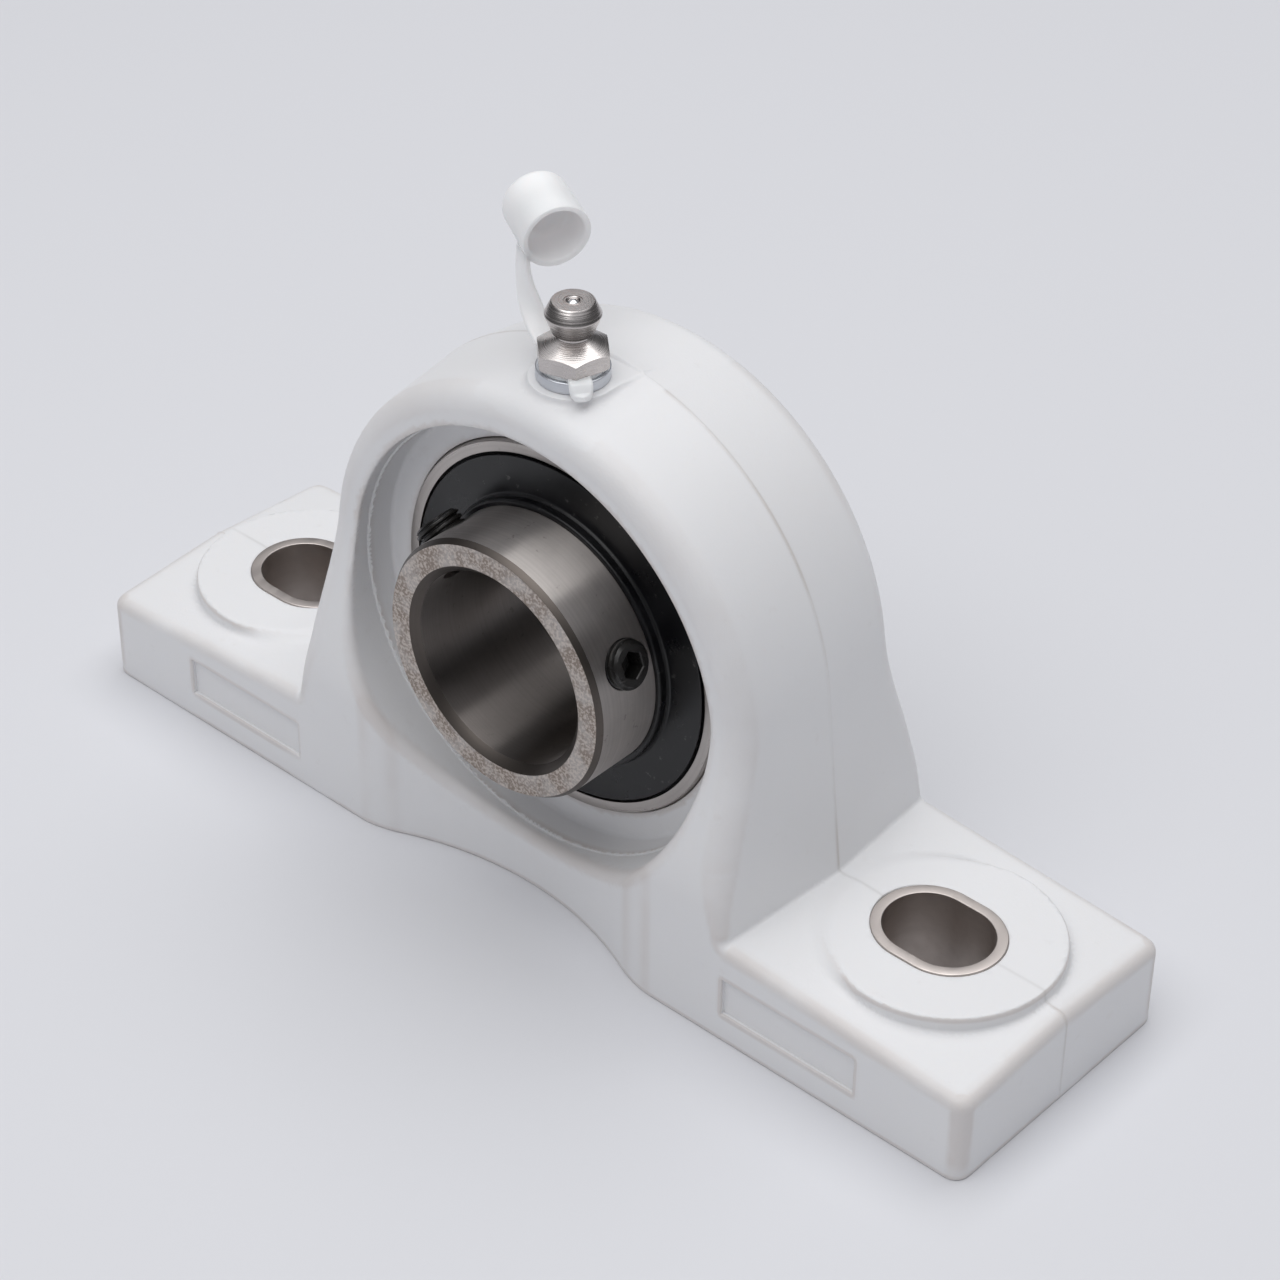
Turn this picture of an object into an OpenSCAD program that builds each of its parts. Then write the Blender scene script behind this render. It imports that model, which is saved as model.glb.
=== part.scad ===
// Pillow block bearing: moulded housing with a self-aligning, set-screw insert bearing.
// X runs along the base, Y along the shaft, Z is up. The base stands on Z = 0,
// and the shaft axis passes over the origin. The long end of the inner ring faces -Y.

/* [Base] */
// Length of the base over its two ends
base_l = 142.4; // [132:1:170]
// Width of the base along the shaft
base_w = 38; // [34:1:46]
// Height of the foot's top where it meets the upright
foot_h = 15.2; // [12:0.2:18]
// Fall of the foot's top per millimetre of length
foot_fall = 0.066; // [0:0.002:0.09]
// Radius of the base's upright corners
corner_r = 2; // [1.4:0.2:5]
// Radius of the foot's top edges
foot_edge_r = 1.8; // [0.8:0.1:2.4]
// Distance between the two bolt slots
bolt_pitch = 105; // [100:1:112]
// Width of a bolt slot
slot_w = 11; // [9:0.5:12]
// Length of a bolt slot
slot_l = 14; // [13:0.5:17]
// Wall of a slot's metal sleeve
sleeve_wall = 1.4; // [1:0.1:1.8]
// Height of a sleeve above its pad
sleeve_proud = 0.15; // [0:0.05:0.3]
// Radius of the raised pad round a slot
pad_r = 14.4; // [12.5:0.1:15]

/* [Upright] */
// Height of the shaft axis above the base
bore_h = 36.5; // [36:0.5:40]
// Wall of the arch outside the recess, on its mid line
arch_wall = 6.5; // [5.6:0.1:8.6]
// Width of the arch along the shaft
arch_w = 27.5; // [26:0.5:31]
// Draft of the arch and flanks, as fall per millimetre from the mid line
draft = 0.114; // [0.05:0.002:0.13]
// Spread of a flank per millimetre down from the shaft axis
flank_spread = 0.11; // [0.08:0.01:0.16]
// Radius of the arch's front and rear edges
arch_edge_r = 2.2; // [1:0.1:2.6]
// Height at which the upright starts to widen towards the base
flare_top = 41.5; // [38:0.5:46]
// Height at which the upright has reached the base's width
flare_foot = 17.5; // [16:0.5:20]
// Radius of the waist scooped out of the front and rear
waist_r = 46; // [40:1:60]
// Distance of the scooped waist's deepest point from the mid line
waist_y = 13.6; // [13:0.1:16]
// Gap between the outer ring and the wall of the recess round it
recess_gap = 2.4; // [1.5:0.1:3.5]
// Distance of the recess floor from the mid line
recess_y = 8; // [7:0.1:8.4]
// Length of the recessed panel on each foot's long sides
panel_l = 19.8; // [14:0.2:20]
// Height of the recessed panels
panel_h = 5.3; // [4:0.1:6]
// Depth of the recessed panels
panel_d = 0.6; // [0.3:0.1:1]

/* [Bearing] */
// Shaft bore of the inner ring
bore_d = 25.4; // [24:0.1:26]
// Outside diameter of the bearing's spherical outer ring
outer_d = 52; // [52:0.1:52.4]
// Width of the outer ring
outer_w = 17; // [16.5:0.1:17.4]
// Outside diameter of the inner ring
inner_d = 34; // [33.6:0.1:34.4]
// Reach of the inner ring's long end from the bearing's centre
inner_front = 19.7; // [19:0.1:22]
// Reach of the inner ring's short end from the bearing's centre
inner_rear = 14.3; // [13:0.1:15]
// Number of balls
ball_count = 9; // [7:1:9]
// Ball diameter
ball_d = 7.938; // [7.9:0.01:8]
// Tilt that the seat leaves the bearing, in degrees
align_limit = 3; // [1:0.5:4]
// Clearance between the outer ring and its spherical seat
seat_gap = 0.05; // [0.02:0.01:0.1]
// Diameter of the two set screws
screw_d = 6; // [5:0.5:7]
// Length of a set screw
screw_l = 5; // [4.5:0.1:5.2]
// Gap between a set screw's hole and the front slinger's hub
screw_gap = 0.86; // [0.3:0.02:1.6]
// Distance of a set screw's tip from the shaft bore
screw_back = 0.5; // [0.1:0.1:1]
// Direction of the lower set screw round the shaft, in degrees from +X
screw_turn = 21; // [0:1:60]

/* [Grease nipple and cap] */
// Distance of the nipple's axis in front of the mid line
nipple_y = 5.6; // [5:0.1:6]
// Width across flats of the nipple's hexagon
hex_af = 8; // [7:0.1:9]
// Height of the nipple's head above the boss
nipple_h = 9.85; // [9.5:0.05:10.5]
// Largest radius of the nipple's head
head_r = 3.3; // [3:0.05:3.4]
// Radius of the nipple's check ball
check_r = 0.9; // [0.7:0.05:1]
// Clearance between the dust cap and the nipple's head
cap_fit = 0.1; // [0.05:0.05:0.8]
// Length of the dust cap
cap_l = 8; // [7:0.1:9]
// Wall of the dust cap
cap_wall = 0.75; // [0.5:0.05:0.8]
// Centre of the open dust cap's mouth, measured from the nipple's foot
cap_at = [-6.6, 4.5, 13.45];
// Direction that the open cap's mouth faces, in degrees round Z from +X
cap_turn = -25.8; // [-40:0.1:0]
// Dip of the open cap's mouth below level, in degrees
cap_dip = 7.8; // [0:0.1:20]
// Width of the cap's strap
strap_w = 2.5; // [2:0.1:3]
// Thickness of the cap's strap
strap_t = 0.9; // [0.7:0.05:1.1]

/* [Hidden] */
// Overlap that carries a cut past a face
cut = 1;
// Clearance of a pin or screw that slides in its hole
slide_gap = 0.04;
round_fn = 96;
small_fn = 48;

// Radii and half widths of the bearing
outer_r = outer_d / 2;
half_outer = outer_w / 2;
inner_r = inner_d / 2;
bore_r = bore_d / 2;
ball_r = ball_d / 2;
ball_gap = 0.02;
// Depth to which a ball lies below the lands of the two rings
inner_sink = 1.469;
outer_sink = 1.269;
pitch_r = inner_r + ball_r - inner_sink;

// Foot and pad heights
half_l = base_l / 2;
half_w = base_w / 2;
recess_r = outer_r + recess_gap;
recess_step = 0.3;
recess_step_y = recess_y + 3.8;
arch_r = recess_r + arch_wall;
flank_angle = atan(flank_spread);
foot_ridge = foot_h + foot_fall * flank_x(foot_h);
foot_side_fall = 0.063;
pad_shift = 1;
pad_x = bolt_pitch / 2 + pad_shift;
slot_reach = (slot_l - slot_w) / 2;
sleeve_r = slot_w / 2 + sleeve_wall;
panel_shift = 6.9;
panel_x = bolt_pitch / 2 - panel_shift;
panel_z = 6.75;

// Upright
half_arch = arch_w / 2;
seat_r = outer_r + seat_gap;
boss_sink = 0.35;
boss_z = bore_h + arch_r - boss_sink;
boss_depth = 4;
loading_slot_gap = 0.2;
waist_below_axis = 7;

// Grease path and nipple, as heights above the boss
insert_floor = 0.5;
insert_end_gap = 0.3;
insert_r = 4;
insert_l = boss_z - bore_h - seat_r - insert_floor;
shank_r = 3;
shank_l = insert_l - 2;
flange_r = hex_af / 2 + 0.6;
flange_t = 1.1;
boss_r = flange_r + 0.7;
boss_flat_inset = 0.4;
grease_hole_r = 1.5;
ring_t = 0.9;
hex_z = flange_t + ring_t;
hex_edge_h = 1.2;
hex_top = 5.1;
hex_turn = -41;
neck_r = 2;
head_low_r = 2.55;
head_low_z = nipple_h - 4;
head_wide_z = nipple_h - 1.6;
head_top_r = 2.5;
mouth_r = check_r - 0.12;
passage_r = check_r - 0.2;
chamber_r = check_r + 0.08;
chamber_l = 3.6;
ball_drop = 0.35;
// The ball rests just under the edge of the nipple's mouth
check_z = nipple_h - ball_drop - sqrt(pow(check_r, 2) - pow(mouth_r, 2)) - 0.02;
spring_wire_r = 0.14;
spring_turns = 5;

// Bearing rings
groove_r = ball_r * 1.04;
outer_land_r = pitch_r + ball_r - outer_sink;
counterbore_step = 1;
counterbore_r = outer_land_r + counterbore_step;
counterbore_l = 1.95;
ring_chamfer = 0.5;
bore_chamfer = 1;
oil_groove_y = nipple_y;
oil_groove_w = 2;
oil_groove_d = 0.5;
oil_hole_r = 0.8;
pin_r = 1.25;
// Depth of the pin's hole as a share of the outer ring's wall over the balls
pin_share = 0.63;
pin_foot_r = outer_r - pin_share * (outer_r - pitch_r - ball_r);
pin_end_r = outer_r + 1.3;
pin_gap = 0.1;
pin_end_gap = 0.2;
pin_seat_gap = 0.02;
cage_in_r = pitch_r - 1.3;
cage_out_r = pitch_r + 1.3;
cage_t = 0.8;
cage_gap = 0.08;
rivet_r = 0.55;
rivet_head_r = 0.95;
rivet_head_t = 0.45;
seal_y = half_outer - counterbore_l;
seal_t = 0.8;
seal_lip_gap = 0.05;
slinger_t = 0.5;
slinger_gap = 0.35;
slinger_proud = 0.1;
hub_t = 0.8;
hub_l = 1.5;
screw_hole_r = screw_d / 2 + slide_gap;
screw_y = half_outer + slinger_proud + hub_l + screw_gap + screw_hole_r;
screw_turns = [screw_turn, screw_turn + 120];
screw_tip_r = bore_r + screw_back;
screw_lift = 0.6;
socket_af = 3;
socket_l = 2.4;
cup_point_r = 1;
cup_point_depth = 0.6;

// Half width of the upright's flank on the mid line at height z
function flank_x(z) = arch_r / cos(flank_angle) + flank_spread * (bore_h - z);
function unit(v) = v / norm(v);
function smooth(t) = let (u = max(0, min(1, t))) u * u * (3 - 2 * u);
// Half thickness of the upright at height z, wide at the base and narrow at the arch
function half_thick(z) =
    half_arch + (half_w - foot_step - half_arch) * smooth((flare_top - z) / (flare_top - flare_foot));
// Height of the foot's top at a place in plan
function foot_z(x, y) = foot_ridge - foot_fall * abs(x) - foot_side_fall * abs(y);

// Turns a shape made round Z so that its axis lies along the shaft, its top end to the front
module on_shaft() {
    translate([0, 0, bore_h]) rotate([90, 0, 0]) children();
}

module front_and_rear() {
    children();
    mirror([0, 1, 0]) children();
}

module left_and_right() {
    children();
    mirror([1, 0, 0]) children();
}

// Base

// Outline of a rounded rectangle, one corner after another, with the mid points of its sides
corner_steps = 5;
function corner_arc(cx, cy, r, from) =
    [for (i = [0:corner_steps]) let (a = from + 90 * i / corner_steps) [cx + r * cos(a), cy + r * sin(a)]];
function base_outline(inset) =
    let (c = max(corner_r, inset + 0.1), x = half_l - c, y = half_w - c, r = c - inset)
    concat([[half_l - inset, 0]], corner_arc(x, y, r, 0), [[0, half_w - inset]],
        corner_arc(-x, y, r, 90), [[-(half_l - inset), 0]], corner_arc(-x, -y, r, 180),
        [[0, -(half_w - inset)]], corner_arc(x, -y, r, 270));
edge_steps = 4;
base_n = len(base_outline(0));
side_n = base_n / 4;

function base_ring(inset, drop) = [for (p = base_outline(inset)) [p[0], p[1], foot_z(p[0], p[1]) - drop]];
function base_points() = concat(
    [for (p = base_outline(0)) [p[0], p[1], 0]],
    [for (i = [0:edge_steps]) let (a = 90 * i / edge_steps)
        each base_ring(foot_edge_r * (1 - cos(a)), foot_edge_r * (1 - sin(a)))],
    [[0, 0, foot_z(0, 0)]]);
function ring_walls(rings, n) = [for (k = [0:rings - 2], i = [0:n - 1])
    let (a = k * n + i, b = k * n + (i + 1) % n) each [[a, a + n, b + n], [a, b + n, b]]];

// The base as one solid: flat below, roof-shaped on top, with rounded top edges
module base_body() {
    top = (edge_steps + 1) * base_n;
    polyhedron(
        points = base_points(),
        faces = concat(
            [[for (i = [0:base_n - 1]) i]],
            ring_walls(edge_steps + 2, base_n),
            [for (s = [0:3])
                concat([for (i = [side_n:-1:0]) top + (s * side_n + i) % base_n], [top + base_n])]),
        convexity = 4);
}

// Upright

// Thickness of the step where the flared upright ends just inside the base's long sides
foot_step = 0.03;
// Depth to which the upright runs down inside the base
root_z = 4;
arch_steps = 44;
flank_steps = 7;
sole_steps = 12;
// Points of the mid-line outline with their outward directions, from the left foot over the arch
function flank_points() = [for (i = [0:flank_steps - 1])
    let (z = root_z + (bore_h + arch_r * sin(flank_angle) - root_z) * i / flank_steps)
    [-flank_x(z), z, -cos(flank_angle), sin(flank_angle)]];
function arch_points() = [for (i = [0:arch_steps])
    let (a = (90 - flank_angle) * (2 * i / arch_steps - 1))
    [arch_r * sin(a), bore_h + arch_r * cos(a), sin(a), cos(a)]];
function mirrored(pts) = [for (i = [len(pts) - 1:-1:0]) [-pts[i][0], pts[i][1], -pts[i][2], pts[i][3]]];
function sole_points() = [for (i = [1:sole_steps - 1])
    [flank_x(root_z) * (1 - 2 * i / sole_steps), root_z, 0, 0]];
outline = concat(flank_points(), arch_points(), mirrored(flank_points()), sole_points());
outline_n = len(outline);

round_steps = 4;
face_steps = 4;
hub_ring_r = recess_r - 5;
// One ring of the front half, from the mid line out to the face and in to the hub
function skin_point(p, y, extra) = let (d = draft * y + extra) [p[0] - p[2] * d, -y, p[1] - p[3] * d];
function edge_ring(k) = [for (p = outline)
    let (a = 90 * k / round_steps, y = half_thick(p[1]))
    skin_point(p, y - arch_edge_r * (1 - sin(a)), arch_edge_r * (1 - cos(a)))];
function face_ring(t) = [for (p = outline)
    let (e = skin_point(p, half_thick(p[1]), arch_edge_r),
        d = [p[0], p[1] - bore_h],
        h = d / norm(d) * hub_ring_r,
        x = e[0] + (h[0] - e[0]) * t,
        z = e[2] + (bore_h + h[1] - e[2]) * t)
    [x, -half_thick(z), z]];
function mid_ring() = [for (p = outline) [p[0], 0, p[1]]];
function flipped(pts) = [for (p = pts) [p[0], -p[1], p[2]]];
front_rings = concat([for (t = [face_steps:-1:1]) face_ring(t / face_steps)],
    [for (k = [round_steps:-1:0]) edge_ring(k)]);
skin = concat(front_rings, [mid_ring()], [for (i = [len(front_rings) - 1:-1:0]) flipped(front_rings[i])]);

module upright_body() {
    n = outline_n;
    last = (len(skin) - 1) * n;
    count = len(skin) * n;
    hub = half_thick(bore_h);
    polyhedron(
        points = concat([for (ring = skin) each ring], [[0, -hub, bore_h], [0, hub, bore_h]]),
        faces = concat(
            [for (k = [0:len(skin) - 2], i = [0:n - 1])
                let (a = k * n + i, b = k * n + (i + 1) % n) each [[a, a + n, b + n], [a, b + n, b]]],
            [for (i = [0:n - 1]) [count, i, (i + 1) % n]],
            [for (i = [0:n - 1]) [count + 1, last + (i + 1) % n, last + i]]),
        convexity = 6);
}

module slot_outline(r) {
    translate([-slot_reach, 0]) circle(r, $fn = small_fn);
    translate([slot_reach, 0]) circle(r, $fn = small_fn);
    translate([-slot_reach, -r]) square([2 * slot_reach, 2 * r]);
}

module pads() {
    left_and_right() translate([pad_x, 0, root_z]) cylinder(r = pad_r, h = foot_h - root_z, $fn = round_fn);
}

// Round boss and its flat, run back to the mid line, under the grease nipple
module nipple_boss() {
    half_flat = boss_r - boss_flat_inset;
    translate([0, -nipple_y, boss_z - boss_depth]) cylinder(r = boss_r, h = boss_depth, $fn = small_fn);
    translate([-half_flat, -nipple_y, boss_z - boss_depth]) cube([2 * half_flat, nipple_y, boss_depth]);
}

// Level flat in front of the mid line that the nipple's flange sits on
module nipple_flat() {
    translate([-boss_r, -nipple_y, boss_z]) cube([2 * boss_r, nipple_y, arch_r]);
}

module waist_scoop() {
    translate([0, -waist_y - waist_r, -cut])
        cylinder(r = waist_r, h = bore_h - waist_below_axis + cut, $fn = round_fn);
}

module panels() {
    left_and_right() translate([panel_x - panel_l / 2, -half_w - cut, panel_z - panel_h / 2])
        cube([panel_l, cut + panel_d, panel_h]);
}

// Room behind the seat that lets the outer ring in sideways before it is turned into place
module loading_slot() {
    intersection() {
        translate([0, recess_y + cut, bore_h]) rotate([90, 0, 0])
            cylinder(r = outer_r + loading_slot_gap, h = recess_y + cut, $fn = round_fn);
        translate([-outer_r - cut, 0, bore_h - half_outer - loading_slot_gap])
            cube([outer_d + 2 * cut, recess_y + cut, outer_w + 2 * loading_slot_gap]);
    }
}

module bearing_seat() {
    translate([0, 0, bore_h]) sphere(seat_r, $fn = round_fn);
    front_and_rear() {
        translate([0, -recess_y, bore_h]) rotate([90, 0, 0])
            cylinder(r = recess_r, h = base_w, $fn = round_fn);
        translate([0, -recess_step_y, bore_h]) rotate([90, 0, 0])
            cylinder(r = recess_r + recess_step, h = base_w, $fn = round_fn);
    }
    loading_slot();
}

// Slot in which the anti-rotation pin can swing as the bearing tilts
module pin_slot() {
    swing = pin_end_r * sin(align_limit) + pin_r + pin_gap;
    translate([-pin_end_r - pin_end_gap, -swing, bore_h - pin_r - pin_gap])
        cube([pin_end_r + pin_end_gap - pin_foot_r, recess_y + cut + swing, 2 * (pin_r + pin_gap)]);
}

module grease_passage() {
    insert_foot = boss_z - insert_l - insert_end_gap;
    hole_foot = bore_h + pitch_r + ball_r;
    translate([0, -nipple_y, insert_foot])
        cylinder(r = insert_r, h = boss_z + cut - insert_foot, $fn = small_fn);
    translate([0, -nipple_y, hole_foot])
        cylinder(r = grease_hole_r, h = insert_foot + insert_end_gap - hole_foot, $fn = small_fn);
}

module housing() {
    color("whitesmoke") difference() {
        union() {
            base_body();
            upright_body();
            pads();
            nipple_boss();
        }
        front_and_rear() {
            waist_scoop();
            panels();
        }
        left_and_right() translate([bolt_pitch / 2, 0, -cut])
            linear_extrude(foot_h + 3) slot_outline(sleeve_r);
        bearing_seat();
        pin_slot();
        grease_passage();
        nipple_flat();
    }
}

module bolt_sleeve(side) {
    color("silver") translate([side * bolt_pitch / 2, 0, 0]) difference() {
        linear_extrude(foot_h + sleeve_proud) slot_outline(sleeve_r);
        translate([0, 0, -cut]) linear_extrude(foot_h + 3) slot_outline(slot_w / 2);
    }
}

module bolt_sleeve_left() { bolt_sleeve(-1); }
module bolt_sleeve_right() { bolt_sleeve(1); }

// Grease nipple

module at_nipple() {
    translate([0, -nipple_y, boss_z]) children();
}

module nipple_insert() {
    color("lightslategray") at_nipple() rotate_extrude($fn = round_fn) polygon([
        [shank_r, -insert_l], [insert_r, -insert_l], [insert_r, 0],
        [flange_r, 0], [flange_r, flange_t], [shank_r, flange_t]]);
}

module grease_nipple() {
    hex_corner_r = hex_af / 2 / cos(30);
    color("lightgray") at_nipple() difference() {
        union() {
            translate([0, 0, -shank_l]) cylinder(r = shank_r, h = hex_z + shank_l, $fn = small_fn);
            intersection() {
                translate([0, 0, hex_z]) rotate(hex_turn)
                    cylinder(r = hex_corner_r, h = hex_top - hex_z, $fn = 6);
                rotate_extrude($fn = round_fn) polygon([
                    [0, hex_z], [hex_corner_r + 1, hex_z], [hex_corner_r + 1, hex_z + hex_edge_h],
                    [neck_r, hex_top], [0, hex_top]]);
            }
            rotate_extrude($fn = round_fn) polygon([
                [0, hex_top - 1], [neck_r, hex_top - 1], [neck_r, head_low_z - 0.3],
                [head_low_r, head_low_z], [head_r, head_wide_z - 0.2], [head_r, head_wide_z],
                [head_top_r, nipple_h], [0, nipple_h]]);
        }
        translate([0, 0, -shank_l - cut]) cylinder(r = passage_r, h = nipple_h + shank_l, $fn = small_fn);
        translate([0, 0, nipple_h - ball_drop - chamber_l])
            cylinder(r = chamber_r, h = chamber_l, $fn = small_fn);
        translate([0, 0, nipple_h - cut]) cylinder(r = mouth_r, h = 2 * cut, $fn = small_fn);
    }
}

module nipple_ball() {
    color("white") at_nipple() translate([0, 0, check_z]) sphere(check_r, $fn = small_fn);
}

// Helix of round wire, swept by hexagonal rings
module nipple_spring() {
    foot = nipple_h - ball_drop - chamber_l + spring_wire_r + 0.02;
    rise = check_z - check_r * 0.75 - foot;
    coil_r = check_r - spring_wire_r - 0.12;
    per_turn = 12;
    rings = spring_turns * per_turn;
    sides = 6;
    points = [for (k = [0:rings], j = [0:sides - 1])
        let (a = 360 * k / per_turn, b = 360 * j / sides, r = coil_r + spring_wire_r * cos(b))
        [r * cos(a), r * sin(a), foot + rise * k / rings + spring_wire_r * sin(b)]];
    color("gray") at_nipple() polyhedron(points = points, faces = concat(
        [[for (j = [0:sides - 1]) j]],
        [for (k = [0:rings - 1], j = [0:sides - 1])
            let (p = k * sides + j, q = k * sides + (j + 1) % sides)
                each [[p, p + sides, q + sides], [p, q + sides, q]]],
        [[for (j = [sides - 1:-1:0]) rings * sides + j]]), convexity = 8);
}

// Dust cap, its strap and ring

ring_out_r = flange_r - 0.1;
cap_r = head_r + cap_fit + cap_wall;
tab_turn = -37;
strap_turn = 172;
// Place of the strap on the cap's rim, in degrees round the mouth from its lowest point
strap_side = -63;
strap_gap = 0.3;

// Flat ring under the hexagon, with the pull tab bent down over the boss
module cap_ring() {
    tab_root_z = flange_t + ring_t / 2;
    color("white") at_nipple() {
        translate([0, 0, flange_t]) difference() {
            cylinder(r = ring_out_r, h = ring_t, $fn = round_fn);
            translate([0, 0, -cut]) cylinder(r = shank_r, h = ring_t + 2 * cut, $fn = small_fn);
        }
        rotate([90, 0, tab_turn]) translate([0, 0, -strap_w / 2]) linear_extrude(strap_w) polygon([
            [shank_r + 0.6, tab_root_z + 0.3], [ring_out_r + 0.3, tab_root_z + 0.3],
            [boss_r + 0.2, flange_t + 0.3], [boss_r + 1.1, 0.75], [boss_r + 1.2, 0.1], [boss_r + 0.3, 0.1],
            [flange_r + 0.25, flange_t - 0.4], [flange_r + 0.1, tab_root_z - 0.3],
            [shank_r + 0.6, tab_root_z - 0.3]]);
    }
}

// Frame of the open cap: its mouth's centre, and the direction in which the mouth faces
cap_dir = [cos(cap_dip) * cos(cap_turn), cos(cap_dip) * sin(cap_turn), -sin(cap_dip)];
cap_low = unit([0, 0, -1] + cap_dir * cap_dir[2]);
cap_side = cap_low * cos(strap_side) + cross(cap_dir, cap_low) * sin(strap_side);
strap_top = cap_at + cap_side * (cap_r - strap_t / 3) - cap_dir * strap_w / 2;

module dust_cap() {
    edge = 1;
    color("white") at_nipple() translate(cap_at) rotate([0, 0, cap_turn]) rotate([0, 90 + cap_dip, 0])
        rotate_extrude($fn = round_fn) difference() {
            translate([0, -cap_l]) union() {
                translate([cap_r - edge, edge]) circle(edge, $fn = small_fn);
                square([cap_r - edge, cap_l]);
                translate([0, edge]) square([cap_r, cap_l - edge]);
            }
            translate([0, -cap_l + cap_wall]) square([cap_r - cap_wall, cap_l]);
            translate([-cap_r - cut, -cap_l - cut]) square([cap_r + cut, cap_l + 2 * cut]);
        }
}

// Strap: a flat band swept along one smooth curve from the ring to the cap's rim
strap_out = [cos(strap_turn), sin(strap_turn), 0];
strap_root = strap_out * (ring_out_r + strap_gap) + [0, 0, flange_t + ring_t / 2];
strap_rings = 18;
strap_edge = 0.25;
strap_path = [strap_root, strap_root + strap_out * 2.6 + [0, 0, 1.6],
    strap_top + strap_out - [0, 0, 4.5], strap_top];
function bezier(p, t) = let (u = 1 - t)
    u * u * u * p[0] + 3 * u * u * t * p[1] + 3 * u * t * t * p[2] + t * t * t * p[3];
function strap_section(a, b, e) = [[a, b - e], [a - e, b], [-a + e, b], [-a, b - e],
    [-a, -b + e], [-a + e, -b], [a - e, -b], [a, -b + e]];
function strap_heading(t) = unit(bezier(strap_path, min(1, t + 0.02)) - bezier(strap_path, max(0, t - 0.02)));
function strap_ring_points(t) =
    let (c = bezier(strap_path, t), d = strap_heading(t),
        start = cross([0, 0, 1], strap_out), finish = cross(cap_side, d),
        w0 = unit(start * (1 - t) + finish * t), w = unit(w0 - d * (w0 * d)), n = cross(d, w))
    [for (q = strap_section(strap_w / 2, strap_t / 2, strap_edge)) c + w * q[0] + n * q[1]];

module cap_strap() {
    n = 8;
    color("white") at_nipple() polyhedron(
        points = [for (k = [0:strap_rings]) each strap_ring_points(k / strap_rings)],
        faces = concat(
            [[for (j = [n - 1:-1:0]) j]],
            [for (k = [0:strap_rings - 1], j = [0:n - 1])
                let (p = k * n + j, q = k * n + (j + 1) % n) each [[p, q, q + n], [p, q + n, p + n]]],
            [[for (j = [0:n - 1]) strap_rings * n + j]]), convexity = 4);
}

// Bearing

module anti_rotation_pin() {
    color("dimgray") translate([-pin_foot_r, 0, bore_h]) rotate([0, -90, 0])
        cylinder(r = pin_r, h = pin_end_r - pin_foot_r, $fn = small_fn);
}

module outer_ring() {
    groove_bottom = pitch_r + ball_r + ball_gap;
    step = half_outer - counterbore_l;
    color("silver") difference() {
        on_shaft() rotate_extrude($fn = round_fn) difference() {
            intersection() {
                circle(outer_r, $fn = round_fn);
                polygon([[outer_land_r, -step], [counterbore_r, -step], [counterbore_r, -half_outer],
                    [outer_r + 1, -half_outer], [outer_r + 1, half_outer], [counterbore_r, half_outer],
                    [counterbore_r, step], [outer_land_r, step]]);
            }
            translate([groove_bottom - groove_r, 0]) circle(groove_r, $fn = small_fn);
        }
        on_shaft() translate([0, 0, oil_groove_y - oil_groove_w / 2]) difference() {
            cylinder(r = outer_r + cut, h = oil_groove_w, $fn = round_fn);
            translate([0, 0, -cut]) cylinder(r = outer_r * cos(asin(oil_groove_y / outer_r)) - oil_groove_d,
                h = oil_groove_w + 2 * cut, $fn = round_fn);
        }
        for (turn = [30, 150]) translate([0, -oil_groove_y, bore_h]) rotate([0, turn, 0])
            cylinder(r = oil_hole_r, h = outer_r + cut, $fn = small_fn);
        translate([-pin_foot_r + pin_seat_gap, 0, bore_h]) rotate([0, -90, 0])
            cylinder(r = pin_r + slide_gap, h = outer_r - pin_foot_r + cut, $fn = small_fn);
    }
}

module inner_ring() {
    groove_top = pitch_r - ball_r - ball_gap;
    color("silver") difference() {
        on_shaft() rotate_extrude($fn = round_fn) difference() {
            polygon([[bore_r, -inner_rear + bore_chamfer], [bore_r + bore_chamfer, -inner_rear],
                [inner_r - ring_chamfer, -inner_rear], [inner_r, -inner_rear + ring_chamfer],
                [inner_r, inner_front - ring_chamfer], [inner_r - ring_chamfer, inner_front],
                [bore_r + bore_chamfer, inner_front], [bore_r, inner_front - bore_chamfer]]);
            translate([groove_top + groove_r, 0]) circle(groove_r, $fn = small_fn);
        }
        for (turn = screw_turns) translate([0, -screw_y, bore_h]) rotate([0, 90 - turn, 0])
            cylinder(r = screw_hole_r, h = inner_r + cut, $fn = small_fn);
    }
}

module bearing_ball(index) {
    color("gainsboro") translate([0, 0, bore_h]) rotate([0, 360 * (index - 1) / ball_count, 0])
        translate([0, 0, pitch_r]) sphere(ball_r, $fn = small_fn);
}

// Front half of the cage: flat webs with a cup over each ball
module cage_half() {
    cup_r = ball_r + cage_gap;
    difference() {
        intersection() {
            union() {
                on_shaft() translate([0, 0, -cut])
                    cylinder(r = cage_out_r + cut, h = cage_t + cut, $fn = round_fn);
                at_balls() rotate(90) sphere(cup_r + cage_t, $fn = small_fn);
            }
            cage_band(cup_r + cage_t + cut);
        }
        at_balls() rotate(90) sphere(cup_r, $fn = small_fn);
        between_balls() on_shaft() translate([0, pitch_r, -cut])
            cylinder(r = rivet_r, h = cage_t + 2 * cut, $fn = small_fn);
    }
}

module cage_band(t) {
    on_shaft() difference() {
        cylinder(r = cage_out_r, h = t, $fn = round_fn);
        translate([0, 0, -cut]) cylinder(r = cage_in_r, h = t + 2 * cut, $fn = round_fn);
    }
}

module at_balls() {
    for (i = [1:ball_count]) translate([0, 0, bore_h]) rotate([0, 360 * (i - 1) / ball_count, 0])
        translate([0, 0, pitch_r]) children();
}

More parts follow.
